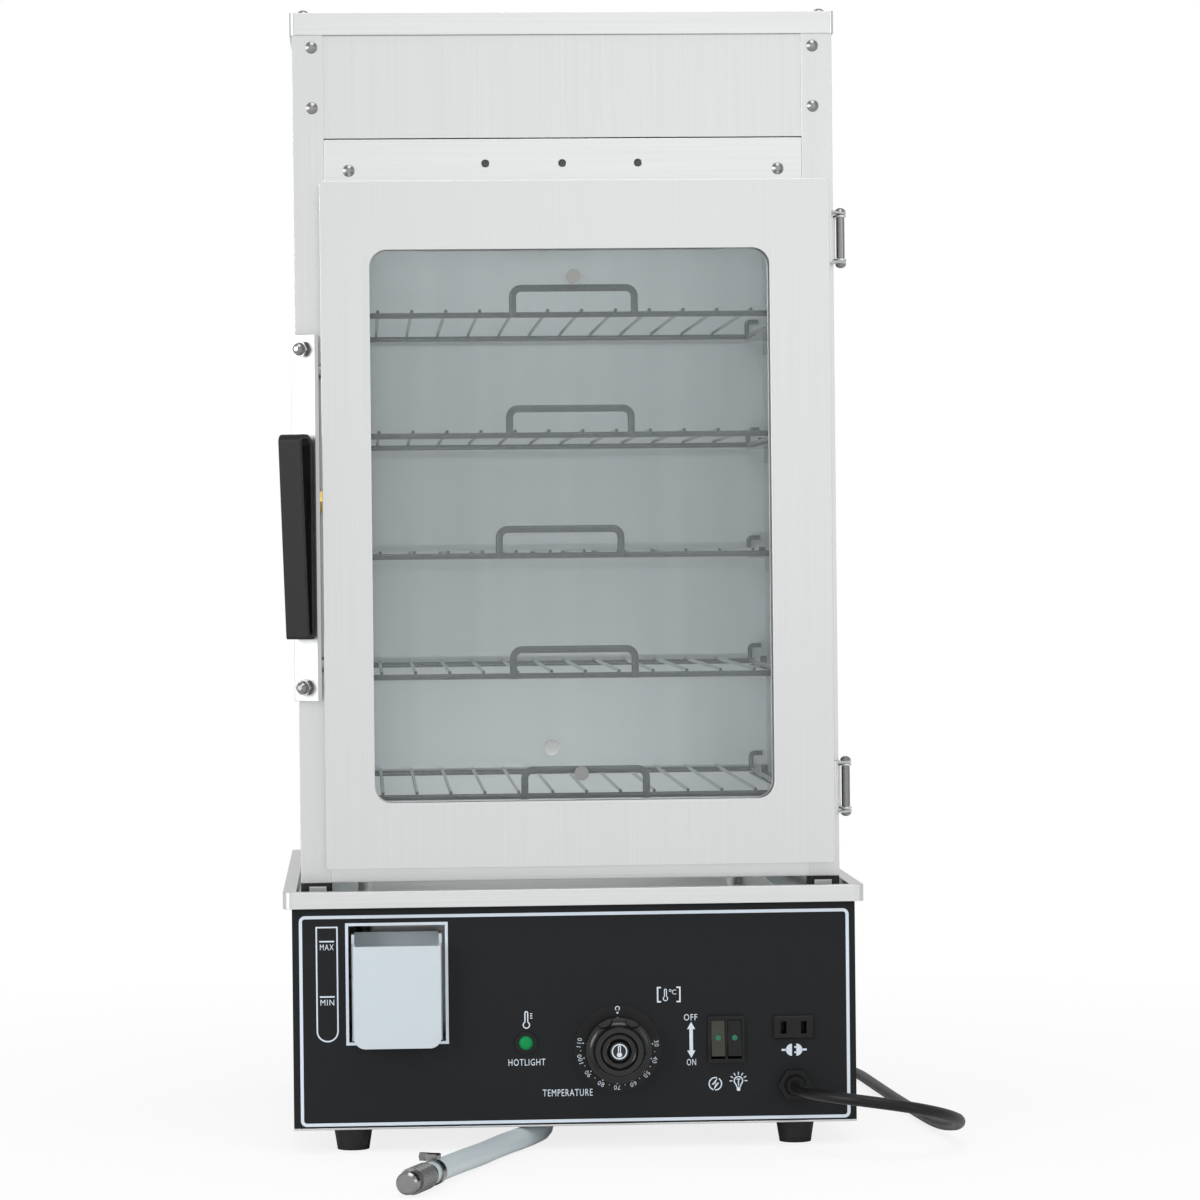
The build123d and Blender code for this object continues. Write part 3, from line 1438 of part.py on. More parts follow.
# Keeper: a strip on the post's left side, bent round in front of the tongue's place
keeper_depth = 3.6
keeper_height = 10.0
keeper_x = -half_cabinet - post_sheet / 2
keeper_start = plate_middle - outward * keeper_depth
keeper_tip = keeper_start + leftward * 6
keeper_bend = keeper_start + leftward * ((keeper_start.X - keeper_x) / math.cos(turn_angle))
with BuildPart() as latch_keeper:
    with BuildSketch(Plane.XY.offset(latch_z - keeper_height / 2)):
        with BuildLine():
            Polyline(
                (keeper_tip.X, keeper_tip.Y),
                (keeper_bend.X, keeper_bend.Y),
                (keeper_x, post_back + 14),
            )
        trace(line_width=post_sheet)
    extrude(amount=keeper_height)
keep(latch_keeper, "latch_keeper")
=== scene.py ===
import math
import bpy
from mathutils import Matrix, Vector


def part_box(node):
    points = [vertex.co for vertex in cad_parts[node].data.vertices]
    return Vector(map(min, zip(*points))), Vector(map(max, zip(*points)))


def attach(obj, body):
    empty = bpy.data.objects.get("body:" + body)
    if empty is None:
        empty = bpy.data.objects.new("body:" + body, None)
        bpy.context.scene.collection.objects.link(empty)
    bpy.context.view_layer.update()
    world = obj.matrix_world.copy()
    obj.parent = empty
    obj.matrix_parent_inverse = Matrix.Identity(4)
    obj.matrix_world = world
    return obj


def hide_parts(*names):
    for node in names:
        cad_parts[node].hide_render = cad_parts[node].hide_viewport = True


bl_info = {
    "name": "Bun Steamer",
    "version": (1, 0, 0),
    "blender": (4, 5, 0),
    "location": "View3D > Sidebar > Bun Steamer",
    "description": "Builds a glass-door bun steamer on its packed CAD frame",
    "category": "Object",
}

import bpy
from mathutils import Matrix, Vector

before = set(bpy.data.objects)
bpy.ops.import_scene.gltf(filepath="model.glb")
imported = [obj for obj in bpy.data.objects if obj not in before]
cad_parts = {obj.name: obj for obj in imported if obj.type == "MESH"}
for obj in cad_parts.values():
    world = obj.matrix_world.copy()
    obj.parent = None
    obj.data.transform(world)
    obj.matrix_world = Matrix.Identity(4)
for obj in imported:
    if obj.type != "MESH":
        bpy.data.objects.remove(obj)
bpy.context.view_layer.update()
MM = 0.001

PANEL_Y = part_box("front_panel")[0][1]
KNOB_FRONT_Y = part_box("thermostat_knob")[0][1]
DIAL_LOW, DIAL_HIGH = (Vector(corner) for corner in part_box("dial_plate"))
DIAL_X = (DIAL_LOW.x + DIAL_HIGH.x) / 2
DIAL_Z = (DIAL_LOW.z + DIAL_HIGH.z) / 2
# Printing stands this far off the face that it is on
INK_GAP = 0.12 * MM


# Colours and materials

def linear(hex_colour):
    """Turns an sRGB hex colour into the linear RGBA that a shader takes."""
    channels = [int(hex_colour[i : i + 2], 16) / 255 for i in (1, 3, 5)]
    return [c / 12.92 if c <= 0.04045 else ((c + 0.055) / 1.055) ** 2.4 for c in channels] + [1.0]


def add_node(tree, kind, links=(), **settings):
    """Adds a node, sets its properties or its inputs, and links (output, input name) pairs into it."""
    node = tree.nodes.new(kind)
    for key, value in settings.items():
        socket = node.inputs.get(key.replace("_", " "))
        if socket is not None and not hasattr(node, key):
            socket.default_value = value
        else:
            setattr(node, key, value)
    for output, name in links:
        tree.links.new(output, node.inputs[name])
    return node


def surface(name, colour, metallic=0.0, roughness=0.5, grain=None, bump=0.0, shade=None, bevel=0.0, **extra):
    """A Principled material. grain is the size in millimetres of a noise pattern along X, Y and Z,
    bump is how far it stands up in millimetres, shade is a second colour that the grain mixes in,
    and bevel is the radius in millimetres that the light sees on its edges."""
    material = bpy.data.materials.new(name)
    material.use_nodes = True
    tree = material.node_tree
    tree.nodes.clear()
    shader = add_node(tree, "ShaderNodeBsdfPrincipled")
    shader.inputs["Base Color"].default_value = linear(colour)
    shader.inputs["Metallic"].default_value = metallic
    shader.inputs["Roughness"].default_value = roughness
    for key, value in extra.items():
        shader.inputs[key.replace("_", " ")].default_value = value
    add_node(tree, "ShaderNodeOutputMaterial", [(shader.outputs["BSDF"], "Surface")])
    if bevel:
        edge = add_node(tree, "ShaderNodeBevel", Radius=bevel * MM, samples=6)
        tree.links.new(edge.outputs["Normal"], shader.inputs["Normal"])
    if grain:
        place = add_node(tree, "ShaderNodeTexCoord")
        stretch = add_node(tree, "ShaderNodeMapping", [(place.outputs["Object"], "Vector")])
        stretch.inputs["Scale"].default_value = [1 / (size * MM) for size in grain]
        noise = add_node(
            tree, "ShaderNodeTexNoise", [(stretch.outputs["Vector"], "Vector")], Scale=1.0, Detail=3.0
        )
        if bump:
            height = add_node(
                tree, "ShaderNodeBump", [(noise.outputs["Fac"], "Height")], Strength=1.0, Distance=bump * MM
            )
            if bevel:
                tree.links.new(edge.outputs["Normal"], height.inputs["Normal"])
            tree.links.new(height.outputs["Normal"], shader.inputs["Normal"])
        if shade:
            mix = add_node(tree, "ShaderNodeMix", [(noise.outputs["Fac"], "Factor")], data_type="RGBA")
            mix.inputs[6].default_value = linear(colour)
            mix.inputs[7].default_value = linear(shade)
            tree.links.new(mix.outputs[2], shader.inputs["Base Color"])
    return material


def make_materials():
    """Every finish, by the name that the pieces below use."""
    return {
        # Stainless sheet, brushed upright: a soft sheen with faint streaks and bright folded edges.
        # Real brushing is near 0.1 mm wide, and is drawn at 1.2 mm here so that it shows
        "satin_stainless": surface(
            "satin_stainless", "#DADBDB", 1.0, 0.3, (1.2, 1.2, 160), 0.005, "#D0D1D2", bevel=0.7
        ),
        # The latch's thick stainless strip: plain and bright
        "strip_stainless": surface("strip_stainless", "#BDBEBE", 1.0, 0.4, bevel=0.5),
        # Stainless lip, cover and strips, brushed along their length, as coarse as the sheets
        "satin_lip": surface(
            "satin_lip", "#E2E3E3", 1.0, 0.28, (200, 200, 1.2), 0.01, "#D2D3D3", bevel=0.7
        ),
        # Inner liner sheet behind the glass: blue-grey, with broad upright streaks painted into its colour
        # as reflections of its wavy sheet, and the same streaks as a faint real waviness in its bump
        "liner_stainless": surface(
            "liner_stainless", "#E6ECED", 0.2, 0.42, (20, 20, 500), 0.03, "#D3DBDD"
        ),
        # Electropolished stainless wire: dark with sharp highlights
        "polished_wire": surface("polished_wire", "#3C3E41", 1.0, 0.14),
        # Nickel-plated screws, nuts and pins: small bright glints
        "plated_steel": surface("plated_steel", "#8E8F8E", 1.0, 0.2),
        # Powder coat: nearly black with a dry sheen. Its pebble, near 0.3 mm, is drawn at 1.1 mm
        "powder_black": surface(
            "powder_black", "#17191C", 0.0, 0.6, (1.1, 1.1, 1.1), 0.04, "#101214", Specular_IOR_Level=0.25
        ),
        # Moulded black ABS: satin
        "abs_black": surface("abs_black", "#0F1012", 0.0, 0.45, Specular_IOR_Level=0.3),
        # Polished black phenolic knob: clear highlights on its rim and dish
        "phenolic_black": surface("phenolic_black", "#0C0D0E", 0.0, 0.2),
        # Moulded nylon handle: matt black
        "nylon_black": surface("nylon_black", "#0B0C0D", 0.0, 0.48, Specular_IOR_Level=0.35),
        # Rocker of moulded smoked amber plastic: dark brown and glossy
        "smoked_plastic": surface("smoked_plastic", "#2B2A1F", 0.0, 0.25),
        # Natural polypropylene, moulded: milky and slightly see-through
        "polypropylene": surface(
            "polypropylene", "#C6D0D6", 0.0, 0.38, Subsurface_Weight=0.15, Subsurface_Scale=4 * MM
        ),
        # Screen-printed ink: cool white and matt
        "panel_ink": surface("panel_ink", "#D3DEE8", 0.0, 0.55),
        # Float glass: almost clear, with a weak mirror on its face
        "float_glass": surface("float_glass", "#DCE6E6", 0.0, 0.03, Alpha=0.045),
        # Moulded natural rubber: matt, with no highlights
        "black_rubber": surface("black_rubber", "#131313", 0.0, 0.62),
        # Extruded silicone seal: grey and matt
        "silicone_grey": surface("silicone_grey", "#56595A", 0.0, 0.6),
        # Soft extruded PVC hose: pale blue-grey and milky
        "soft_pvc": surface(
            "soft_pvc", "#CBD6D9", 0.0, 0.32, Subsurface_Weight=0.2, Subsurface_Scale=4 * MM
        ),
        # Extruded PVC sheath of the mains cord: black with a long soft highlight
        "cord_sheath": surface("cord_sheath", "#0A0A0B", 0.0, 0.42, Specular_IOR_Level=0.35),
        # Turned brass: warm yellow glints
        "turned_brass": surface("turned_brass", "#B79A58", 1.0, 0.28),
        # Moulded acrylic lens: green, with its fine prisms drawn at 0.9 mm so that they show
        "lens_green": surface(
            "lens_green", "#05944F", 0.0, 0.45, (0.9, 0.9, 0.9), 0.08, "#047A42", Specular_IOR_Level=0.2
        ),
        # Acrylic windows of the rockers: dark green and glossy
        "window_green": surface("window_green", "#0E6B4C", 0.0, 0.2),
        # Glazed porcelain lamp holder: warm white with a clear highlight
        "porcelain": surface("porcelain", "#E8E5DA", 0.0, 0.2),
        # Blown glass of the lamp's bulb: half clear
        "bulb_glass": surface("bulb_glass", "#F3F0E4", 0.0, 0.05, Alpha=0.55),
        # Dark matt discs behind the vent holes: painted shade standing in for their unlit hollow
        "painted_hole_shade": surface("painted_hole_shade", "#4B4D4F", 0.0, 0.7),
    }


materials = make_materials()

NODE_FINISHES = {
    "satin_stainless": (
        "corner_posts", "cabinet_wrap", "door_frame", "upper_fascia",
        "hinge_brackets_cabinet", "hinge_brackets_door", "base_shell", "bottom_plate", "door_inner_cover",
    ),
    "strip_stainless": ("latch_plate",),
    "satin_lip": ("tank_tray", "top_cover", "vent_strip", "door_sill", "latch_keeper"),
    "liner_stainless": ("cavity_liner", "ceiling_plate"),
    "polished_wire": ("rack_1", "rack_2", "rack_3", "rack_4", "rack_5", "heating_element", "rack_runners"),
    "plated_steel": (
        "dome_screws", "dome_nuts", "hinge_pins", "glass_plugs", "rear_plug", "hose_plug", "hose_clamp",
        "float_stem", "latch_spindle",
    ),
    "powder_black": ("front_panel",),
    "abs_black": (
        "dial_plate", "rocker_housing", "outlet_socket", "cable_gland", "rocker_light", "indicator_bezel",
        "thermostat_body",
    ),
    "phenolic_black": ("thermostat_knob",),
    "nylon_black": ("latch_handle",),
    "smoked_plastic": ("rocker_power",),
    "polypropylene": ("filler_cup", "float_ball"),
    "float_glass": ("glass_panes",),
    "black_rubber": ("rubber_feet", "cabinet_pads", "power_plug"),
    "silicone_grey": ("door_gasket", "pane_spacer"),
    "turned_brass": ("brass_nut", "drain_elbow"),
    "lens_green": ("indicator_lens",),
    "bulb_glass": ("lamp_bulb",),
    "porcelain": ("lamp_holder",),
}


# Shared making of pieces

def new_object(name, data, material, body):
    """Links an object, gives it one material, and lets it ride on a body."""
    made = bpy.data.objects.new(name, data)
    bpy.context.scene.collection.objects.link(made)
    made.data.materials.clear()
    made.data.materials.append(materials[material])
    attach(made, body)
    return made


class Print:
    """Flat printing that faces the front, gathered as outlines in millimetres on a plane of constant Y."""

    def __init__(self, y):
        self.y = y
        self.points = []
        self.faces = []

    def area(self, outline):
        start = len(self.points)
        self.points += [(x * MM, self.y, z * MM) for x, z in outline]
        self.faces.append(list(range(start, len(self.points))))

    def line(self, path, width, closed=False):
        """A line of one width with mitred corners, drawn as one quad for each run."""
        count = len(path)
        left, right = [], []
        for i, (x, z) in enumerate(path):
            sides = []
            for start, end in ((i - 1, i), (i, i + 1)):
                if closed or 0 <= start < end < count:
                    run = Vector(path[end % count]) - Vector(path[start % count])
                    sides.append(Vector((run.y, -run.x)).normalized())
            side = sum(sides, Vector((0, 0))).normalized()
            side *= width / 2 / side.dot(sides[0])
            left.append((x - side.x, z - side.y))
            right.append((x + side.x, z + side.y))
        for i in range(count if closed else count - 1):
            j = (i + 1) % count
            self.area([left[i], left[j], right[j], right[i]])

    def disc(self, x, z, radius, sides=24):
        turns = [2 * math.pi * i / sides for i in range(sides)]
        self.area([(x + radius * math.cos(t), z + radius * math.sin(t)) for t in turns])

    def arc(self, x, z, radius, start, end, width, steps=24):
        """An arc from start to end in degrees, anticlockwise from +X."""
        inner, outer = radius - width / 2, radius + width / 2
        for i in range(steps):
            a, b = (math.radians(start + (end - start) * (i + k) / steps) for k in (0, 1))
            self.area(
                [
                    (x + inner * math.cos(a), z + inner * math.sin(a)),
                    (x + outer * math.cos(a), z + outer * math.sin(a)),
                    (x + outer * math.cos(b), z + outer * math.sin(b)),
                    (x + inner * math.cos(b), z + inner * math.sin(b)),
                ]
            )

    def words(self, text, x, z, height, width=None, turn=0.0):
        """A word with its middle at x, z. height is that of its capitals; width stretches or squeezes it."""
        curve = bpy.data.curves.new("lettering", "FONT")
        curve.body = text
        curve.align_x, curve.align_y = "LEFT", "BOTTOM_BASELINE"
        curve.resolution_u = 3
        curve.space_character = 1.15
        letter = bpy.data.objects.new("lettering", curve)
        bpy.context.scene.collection.objects.link(letter)
        mesh = bpy.data.meshes.new_from_object(letter.evaluated_get(bpy.context.evaluated_depsgraph_get()))
        xs = [v.co.x for v in mesh.vertices]
        ys = [v.co.y for v in mesh.vertices]
        high = height / (max(ys) - min(ys))
        wide = high if width is None else width / (max(xs) - min(xs))
        middle_x, middle_y = (max(xs) + min(xs)) / 2, (max(ys) + min(ys)) / 2
        cos, sin = math.cos(math.radians(turn)), math.sin(math.radians(turn))
        start = len(self.points)
        for v in mesh.vertices:
            u, w = (v.co.x - middle_x) * wide, (v.co.y - middle_y) * high
            self.points.append(((x + u * cos - w * sin) * MM, self.y, (z + u * sin + w * cos) * MM))
        self.faces += [[start + i for i in face.vertices] for face in mesh.polygons]
        bpy.data.objects.remove(letter)

    def build(self, name, material, body):
        mesh = bpy.data.meshes.new(name)
        mesh.from_pydata(self.points, [], self.faces)
        for face in mesh.polygons:
            if face.normal.y > 0:
                face.flip()
        return new_object(name, mesh, material, body)


def rounded_box(low_x, low_z, high_x, high_z, radius, steps=5):
    """The corners of a rectangle with rounded corners, in order."""
    outline = []
    for middle_x, middle_z, start in (
        (high_x - radius, high_z - radius, 0),
        (low_x + radius, high_z - radius, 90),
        (low_x + radius, low_z + radius, 180),
        (high_x - radius, low_z + radius, 270),
    ):
        for i in range(steps + 1):
            turn = math.radians(start + 90 * i / steps)
            outline.append((middle_x + radius * math.cos(turn), middle_z + radius * math.sin(turn)))
    return outline


def thermometer(ink, x, z, height, line):
    """An outlined thermometer with its middle at x, z."""
    bulb = height * 0.19
    stem = height * 0.085
    base = z - height / 2 + bulb
    ink.arc(x, base, bulb, 115, 425, line)
    for side in (-1, 1):
        ink.line([(x + side * stem, base + bulb * 0.85), (x + side * stem, z + height / 2 - stem)], line)
    ink.arc(x, z + height / 2 - stem, stem, 0, 180, line, 8)


def level_gauge(ink):
    """A long U with its two marks and their words."""
    left, right, top, round_start, line = -177.4, -163.2, 155.3, 84.0, 1.0
    sides = [(left, round_start), (left, top), (right, top), (right, round_start)]
    ink.line(sides, line)
    ink.arc((left + right) / 2, round_start, (right - left) / 2, 180, 360, line)
    inset, word_x, word_drop, word_height, word_width = 2.0, -170.3, 3.9, 4.0, 9.4
    for word, mark_z in (("MAX", 145.6), ("MIN", 107.6)):
        ink.line([(left + inset, mark_z), (right - inset, mark_z)], line)
        ink.words(word, word_x, mark_z - word_drop, word_height, word_width)


def filler_frame(ink):
    """The white frame round the filler's opening."""
    left, right, low, high, line = -156.6, -88.2, 75.0, 157.0, 2.0
    ink.line([(left, low), (left, high), (right, high), (right, low)], line, closed=True)


def switch_arrow(ink):
    """The arrow with two heads between OFF and ON."""
    x, low, high, shaft = 79.8, 61.6, 86.4, 2.4
    head_length, head_half = 5.0, 2.8
    ink.line([(x, low + head_length), (x, high - head_length)], shaft)
    for tip, base, half in ((low, low + head_length, head_half), (high, high - head_length, -head_half)):
        ink.area([(x - half, base), (x, tip), (x + half, base)])


def lamp_sign(ink):
    """A thermometer with three short marks, over the indicator lamp."""
    thermometer(ink, -33.8, 89.6, 11.4, 0.8)
    mark_start, mark_end, first_z, pitch, line = -31.2, -29.7, 90.8, 1.5, 0.6
    for step in range(3):
        mark_z = first_z + step * pitch
        ink.line([(mark_start, mark_z), (mark_end, mark_z)], line)


def temperature_sign(ink):
    """A thermometer and the degree sign between square brackets."""
    low, high, lip, line = 100.6, 110.4, 2.4, 1.0
    for side, edge in ((-1, 56.9), (1, 72.3)):
        inner = edge - side * lip
        ink.line([(inner, high), (edge, high), (edge, low), (inner, low)], line)
    thermometer(ink, 62.3, 105.3, 8.0, 0.6)
    degree_radius, degree_line, letter_height = 0.7, 0.4, 3.4
    ink.arc(65.6, 108.3, degree_radius, 0, 360, degree_line, 10)
    ink.words("C", 68.3, 107.2, letter_height)


def power_sign(ink):
    """A flash in a ring that is open at its top and lower right."""
    x, z, radius, line = 96.2, 43.4, 4.3, 0.8
    for start, end in ((75, 250), (270, 415)):
        ink.arc(x, z, radius, start, end, line)
    upper = ((1.6, 4.2), (-2.6, -0.6), (-0.3, -0.6))
    lower = ((-1.4, -4.6), (2.7, 0.7), (0.3, 0.7))
    waist = ((-1.2, -0.6), (0.5, -0.6), (1.2, 0.7), (-0.5, 0.7))
    for part in (upper, lower, waist):
        ink.area([(x + across, z + up) for across, up in part])


def light_sign(ink):
    """A bulb with its neck, filament, cap and rays."""
    x, z, radius, line, thin_line = 112.2, 45.2, 2.9, 0.8, 0.7
    neck_drop, neck_half, cap_drop, neck_foot_half = 2.2, 1.9, 4.4, 1.1
    cap_foot, cap_half, cap_round = 7.0, 1.2, 0.7
    filament_drop, filament_rise, filament_half = 3.6, 1.2, 1.3
    ray_start, ray_end, ray_turn = 4.2, 6.2, 30
    ink.arc(x, z, radius, -50, 230, line)
    for side in (-1, 1):
        ink.line([(x + side * neck_half, z - neck_drop), (x + side * neck_foot_half, z - cap_drop)], line)
    ink.line([(x, z - filament_drop), (x, z + filament_rise)], thin_line)
    ink.line([(x - filament_half, z + filament_rise), (x + filament_half, z + filament_rise)], thin_line)
    ink.area(rounded_box(x - cap_half, z - cap_foot, x + cap_half, z - cap_drop, cap_round))
    for turn in range(0, 181, ray_turn):
        cos, sin = math.cos(math.radians(turn)), math.sin(math.radians(turn))
        ink.line([(x + reach * cos, z + reach * sin) for reach in (ray_start, ray_end)], thin_line)


def outlet_sign(ink):
    """A plug and a socket, drawn as two half rounds back to back with their leads."""
    x, z, radius, steps = 150.9, 66.0, 4.2, 12
    lead_start, lead_end, lead_line = 3.8, 7.2, 1.4
    for side, flat_x in ((-1, x - 1.4), (1, x + 1.6)):
        half_round = []
        for i in range(steps + 1):
            turn = math.radians(-90 + 180 * i / steps)
            half_round.append((flat_x + side * radius * math.cos(turn), z + radius * math.sin(turn)))
        ink.area(half_round)
        ink.line([(flat_x + side * lead_start, z), (flat_x + side * lead_end, z)], lead_line)
    pin_start, pin_end, pin_height, pin_line = 0.2, 1.8, 1.8, 1.2
    for pin_z in (z - pin_height, z + pin_height):
        ink.line([(x + pin_start, pin_z), (x + pin_end, pin_z)], pin_line)


# Sizes and places that a user may change

class SteamerSizes(bpy.types.PropertyGroup):
    ink_line: bpy.props.FloatProperty(
        name="Border line", description="Width of the printed border in mm", default=2.2, min=0.5
    )
    cord_length: bpy.props.FloatProperty(
        name="Cord length", description="Real length of the mains cord", default=1.65, unit="LENGTH"
    )
    eye_distance: bpy.props.FloatProperty(
        name="Camera distance", description="From the front panel", default=3.0, unit="LENGTH"
    )
    lens: bpy.props.FloatProperty(name="Lens", description="Focal length in mm", default=131.0)


class STEAMER_OT_finishes(bpy.types.Operator):
    """Gives every CAD piece its finish"""

    bl_idname = "steamer.finishes"
    bl_label = "Finishes"

    def execute(self, context):
        for finish, names in NODE_FINISHES.items():
            for name in names:
                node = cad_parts[name]
                node.data.materials.clear()
                node.data.materials.append(materials[finish])
        return {"FINISHED"}


class STEAMER_OT_panel_print(bpy.types.Operator):
    """Prints the front panel: border, level gauge, filler frame, words and signs"""

    bl_idname = "steamer.panel_print"
    bl_label = "Panel printing"

    def execute(self, context):
        ink = Print(PANEL_Y - INK_GAP)
        border = rounded_box(-188.2, 19.6, 188.6, 162.2, 3)
        ink.line(border, context.scene.steamer_sizes.ink_line, closed=True)
        level_gauge(ink)
        filler_frame(ink)
        # Each word with its middle, the height of its capitals and its width
        for word, x, z, height, width in (
            ("HOTLIGHT", -33.7, 60.4, 4.6, 25.4),
            ("TEMPERATURE", -5.8, 39.0, 4.8, 34.3),
            ("OFF", 79.5, 89.6, 4.4, 9.2),
            ("ON", 79.8, 58.6, 4.4, 6.4),
        ):
            ink.words(word, x, z, height, width)
        for sign in (switch_arrow, lamp_sign, temperature_sign, power_sign, light_sign, outlet_sign):
            sign(ink)
        ink.build("panel_print", "panel_ink", "base")
        return {"FINISHED"}


class STEAMER_OT_dial_print(bpy.types.Operator):
    """Prints the dial's numbers and dots, and the mark on the knob"""

    bl_idname = "steamer.dial_print"
    bl_label = "Dial printing"

    def execute(self, context):
        ink = Print(DIAL_LOW.y - INK_GAP)
        middle_x, middle_z = DIAL_X / MM, DIAL_Z / MM
        first_turn, pitch, number_ring, number_height = 6.5, -24.5, 26.9, 3.1
        dot_ring, dot_radius, dot_sides = 24.2, 0.5, 12
        for index, number in enumerate(range(30, 120, 10)):
            turn = first_turn + pitch * index
            cos, sin = math.cos(math.radians(turn)), math.sin(math.radians(turn))
            ink.words(
                str(number), middle_x + number_ring * cos, middle_z + number_ring * sin, number_height,
                turn=turn - 90,
            )
            ink.disc(middle_x + dot_ring * cos, middle_z + dot_ring * sin, dot_radius, dot_sides)
        # the off place: an open ring over a larger dot
        ring_z, ring_radius, ring_line, off_z, off_radius = 27.6, 1.4, 0.6, 24.6, 0.75
        ink.arc(middle_x, middle_z + ring_z, ring_radius, -60, 240, ring_line)
        ink.disc(middle_x, middle_z + off_z, off_radius, dot_sides)
        ink.build("dial_print", "panel_ink", "base")
        # the knob's sign lies on the button in its dish, behind the front of its rim
        button_depth = 1.0 * MM
        mark = Print(KNOB_FRONT_Y + button_depth - INK_GAP)
        rim_radius, rim_line, bulb_drop, bulb_radius = 4.9, 0.85, 2.1, 1.1
        mark.arc(middle_x, middle_z, rim_radius, 0, 360, rim_line, 40)
        thermometer(mark, middle_x, middle_z + 0.2, 7.6, 0.7)
        mark.disc(middle_x, middle_z - bulb_drop, bulb_radius)
        mark.build("knob_mark", "panel_ink", "knob")
        return {"FINISHED"}


def repeat_tree(name, ring_radius=None):
    """Geometry Nodes: small dots set evenly along a line, or rings round it if ring_radius is given."""
    tree = bpy.data.node_groups.new(name, "GeometryNodeTree")
    tree.interface.new_socket("Geometry", in_out="OUTPUT", socket_type="NodeSocketGeometry")
    kinds = {"Geometry": "Geometry", "Count": "Int", "Dot": "Float", "Material": "Material"}
    for label, kind in kinds.items():
        tree.interface.new_socket(label, in_out="INPUT", socket_type="NodeSocket" + kind)
    inputs = add_node(tree, "NodeGroupInput").outputs
    points = add_node(
        tree, "GeometryNodeCurveToPoints", [(inputs["Geometry"], "Curve"), (inputs["Count"], "Count")],
        mode="COUNT",
    )
    if ring_radius is None:
        dot = add_node(tree, "GeometryNodeMeshUVSphere", [(inputs["Dot"], "Radius")], Segments=10, Rings=6)
    else:
        hoop = add_node(tree, "GeometryNodeCurvePrimitiveCircle", Resolution=48, Radius=ring_radius)
        wire = add_node(tree, "GeometryNodeCurvePrimitiveCircle", [(inputs["Dot"], "Radius")], Resolution=6)
        dot = add_node(
            tree, "GeometryNodeCurveToMesh",
            [(hoop.outputs["Curve"], "Curve"), (wire.outputs["Curve"], "Profile Curve")],
        )
    spread = add_node(
        tree, "GeometryNodeInstanceOnPoints",
        [
            (points.outputs["Points"], "Points"), (dot.outputs["Mesh"], "Instance"),
            (points.outputs["Rotation"], "Rotation"),
        ],
    )
    real = add_node(tree, "GeometryNodeRealizeInstances", [(spread.outputs["Instances"], "Geometry")])
    painted = add_node(
        tree, "GeometryNodeSetMaterial",
        [(real.outputs["Geometry"], "Geometry"), (inputs["Material"], "Material")],
    )
    add_node(tree, "NodeGroupOutput", [(painted.outputs["Geometry"], "Geometry")])
    return tree


def along_curve(name, points, tree, count, radius, material, body):
    """Runs a repeat tree along a line of points and keeps the result as a plain mesh."""
    curve = bpy.data.curves.new(name, "CURVE")
    curve.dimensions = "3D"
    spline = curve.splines.new("POLY")
    spline.points.add(len(points) - 1)
    for control, point in zip(spline.points, points):
        control.co = (*point, 1.0)
    holder = bpy.data.objects.new(name + "_path", curve)
    bpy.context.scene.collection.objects.link(holder)
    modifier = holder.modifiers.new("repeats", "NODES")
    modifier.node_group = tree
    sockets = {item.name: item.identifier for item in tree.interface.items_tree if item.in_out == "INPUT"}
    modifier[sockets["Count"]] = count
    modifier[sockets["Dot"]] = radius
    modifier[sockets["Material"]] = materials[material]
    ready = holder.evaluated_get(bpy.context.evaluated_depsgraph_get())
    mesh = bpy.data.meshes.new_from_object(ready)
    holder.modifiers.remove(modifier)
    bpy.data.objects.remove(holder)
    return new_object(name, mesh, material, body)


class STEAMER_OT_small_dots(bpy.types.Operator):
    """Sets the dots between the dial's numbers, and the rockers' green windows"""

    bl_idname = "steamer.small_dots"
    bl_label = "Dots"

    def execute(self, context):
        tree = repeat_tree("dial_dots")
        y = DIAL_LOW.y - 0.1 * MM
        # the dots stand between the numbers, on a ring of their own
        first, last, ring, arc_steps, dot_count, dot_radius = -5.75, -177.25, 25.6 * MM, 56, 8, 0.4 * MM
        arc = []
        for step in range(arc_steps + 1):
            turn = math.radians(first + (last - first) * step / arc_steps)
            arc.append((DIAL_X + ring * math.cos(turn), y, DIAL_Z + ring * math.sin(turn)))
        along_curve("dial_dots", arc, tree, dot_count, dot_radius, "panel_ink", "base")
        # each rocker's window stands proud of the rocker's face
        window_y, window_lift, window_radius = PANEL_Y - 2.15 * MM, 0.6, 1.9
        for name, body in (("rocker_power", "power_rocker"), ("rocker_light", "light_rocker")):
            low, high = (Vector(corner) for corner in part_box(name))
            middle = (low + high) / 2
            window = Print(window_y)
            window.disc(middle.x / MM, middle.z / MM + window_lift, window_radius)
            window.build(name + "_window", "window_green", body)
        return {"FINISHED"}


class STEAMER_OT_vent_shades(bpy.types.Operator):
    """Puts dark discs behind the strip's three vent holes, as painted shade of the hollow inside"""

    bl_idname = "steamer.vent_shades"
    bl_label = "Vent shades"

    def execute(self, context):
        low, high = (Vector(corner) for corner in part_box("vent_strip"))
        # the discs just behind the holes are painted shade, not a real part
        shade = Print(high.y - 0.3 * MM)
        vent_z, vent_radius = low.z / MM + 29.5, 2.7
        for vent_x in (-54.5, -1.0, 51.8):
            shade.disc(vent_x, vent_z, vent_radius)
        shade.build("vent_shades", "painted_hole_shade", "base")
        return {"FINISHED"}


# The drain hose ends here, and its plug points on along the last run, in millimetres
HOSE_END = (-105.0, -380.0, 8.9)
PLUG_WAY = (-20.0, -54.0, 0.0)


